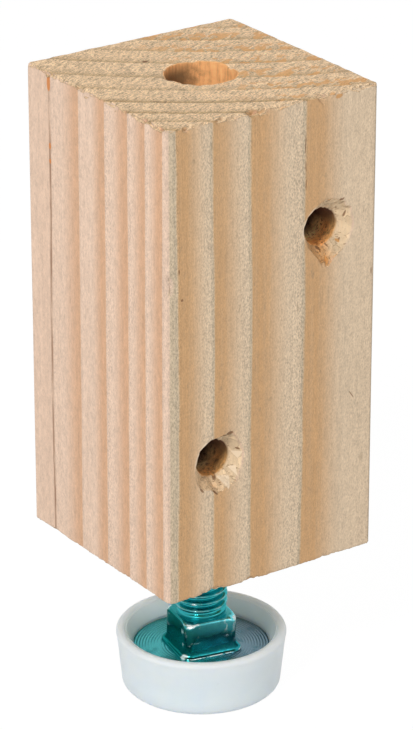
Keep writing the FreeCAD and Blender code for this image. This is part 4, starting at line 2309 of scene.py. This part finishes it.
@dataclass
class Studio:
    """Pale floor, white surroundings, soft lamps and the camera, in metres and degrees."""

    azimuth: float = -34.85
    elevation: float = 23.28
    distance: float = 0.687
    focal_px: float = 3748.0
    nearest: float = 0.05
    aim_right: float = 0.00099
    aim_height: float = 0.06498
    floor_radius: float = 4.0
    floor_sides: int = 96
    floor_tone: Colour = (0.86, 0.86, 0.86)
    floor_glow: float = 1.03
    shadow_share: float = 0.06
    world_tone: Colour = (1.0, 1.0, 1.0)
    ambient: float = 0.42
    lamps: tuple[Lamp, ...] = (
        Lamp("key", (-0.75, -0.40, 0.65), 0.18, 0.50),
        Lamp("fill", (0.45, -0.85, 0.35), 0.60, 0.05),
        Lamp("top", (0.05, 0.10, 1.00), 0.60, 0.13),
        Lamp("spark", (0.16, -0.70, 0.75), 0.06, 0.08),
    )

    def build(self) -> None:
        """Add floor, world, lamps and camera."""
        self._floor()
        self._world()
        aim = Vector((0.0, 0.0, self.aim_height))
        for lamp in self.lamps:
            lamp.build(aim)
        self._camera()
        bpy.context.scene.view_settings.view_transform = "Standard"
        LOG.info("studio: %d lamps", len(self.lamps))

    def _seen(self, graph: NodeGraph) -> Field:
        """Tell rays that show a surface from those that only light one.

        Args:
            graph: Graph to add to.

        Returns:
            1 for rays from the camera and for mirrored and transmitted ones, 0 for the rest.
        """
        camera = graph.node("ShaderNodeLightPath", output="Is Camera Ray")
        glossy = graph.node("ShaderNodeLightPath", output="Is Glossy Ray")
        through = graph.node("ShaderNodeLightPath", output="Is Transmission Ray")
        return camera.most(glossy).most(through)

    def _floor(self) -> None:
        """Add the floor, white to the camera but for a trace of the leg's shadow."""
        work = bmesh.new()
        bmesh.ops.create_circle(work, cap_ends=True, segments=self.floor_sides, radius=self.floor_radius)
        mesh = bpy.data.meshes.new("floor")
        work.to_mesh(mesh)
        work.free()
        material = bpy.data.materials.new("pale_floor")
        graph = NodeGraph(material)
        matt = graph.node("ShaderNodeBsdfDiffuse", None, {"Color": self.floor_tone})
        white = graph.node("ShaderNodeEmission", None, {"Strength": self.floor_glow})
        share = self._seen(graph) * (1.0 - self.shadow_share)
        graph.surface(graph.node("ShaderNodeMixShader", None, {0: share, 1: matt, 2: white}))
        mesh.materials.append(material)
        floor = bpy.data.objects.new("floor", mesh)
        bpy.context.scene.collection.objects.link(floor)

    def _world(self) -> None:
        """Light the scene evenly from a white world."""
        world = bpy.data.worlds.new("white_studio")
        bpy.context.scene.world = world
        graph = NodeGraph(world)
        level = self.ambient + self._seen(graph) * (1.0 - self.ambient)
        sockets = {"Color": self.world_tone, "Strength": level}
        graph.surface(graph.node("ShaderNodeBackground", None, sockets))

    def _camera(self) -> None:
        """Add the camera at the photograph's viewing angle."""
        azimuth, elevation = math.radians(self.azimuth), math.radians(self.elevation)
        right = Vector((math.cos(azimuth), math.sin(azimuth), 0.0))
        level = Vector((math.sin(azimuth), -math.cos(azimuth), 0.0))
        back = level * math.cos(elevation) + Vector((0.0, 0.0, math.sin(elevation)))
        aim = right * self.aim_right + Vector((0.0, 0.0, self.aim_height))
        data = bpy.data.cameras.new("camera")
        data.sensor_width = SENSOR_MM
        data.lens = self.focal_px * SENSOR_MM / PHOTO_HEIGHT_PX
        data.clip_start = self.nearest
        camera = bpy.data.objects.new("camera", data)
        camera.location = aim + back * self.distance
        camera.rotation_euler = (-back).to_track_quat("-Z", "Y").to_euler()
        bpy.context.scene.collection.objects.link(camera)
        bpy.context.scene.camera = camera


def main() -> None:
    """Load the frame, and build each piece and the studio."""
    logging.basicConfig(level=logging.INFO, format="%(name)s: %(message)s")
    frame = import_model()
    PineBlock(frame["record"]).build()
    LevellingBolt().build()
    GlideCup().build()
    TeeNut(frame["nodes"]["tee_nut"]).build()
    Studio().build()


if __name__ == "__main__":
    main()
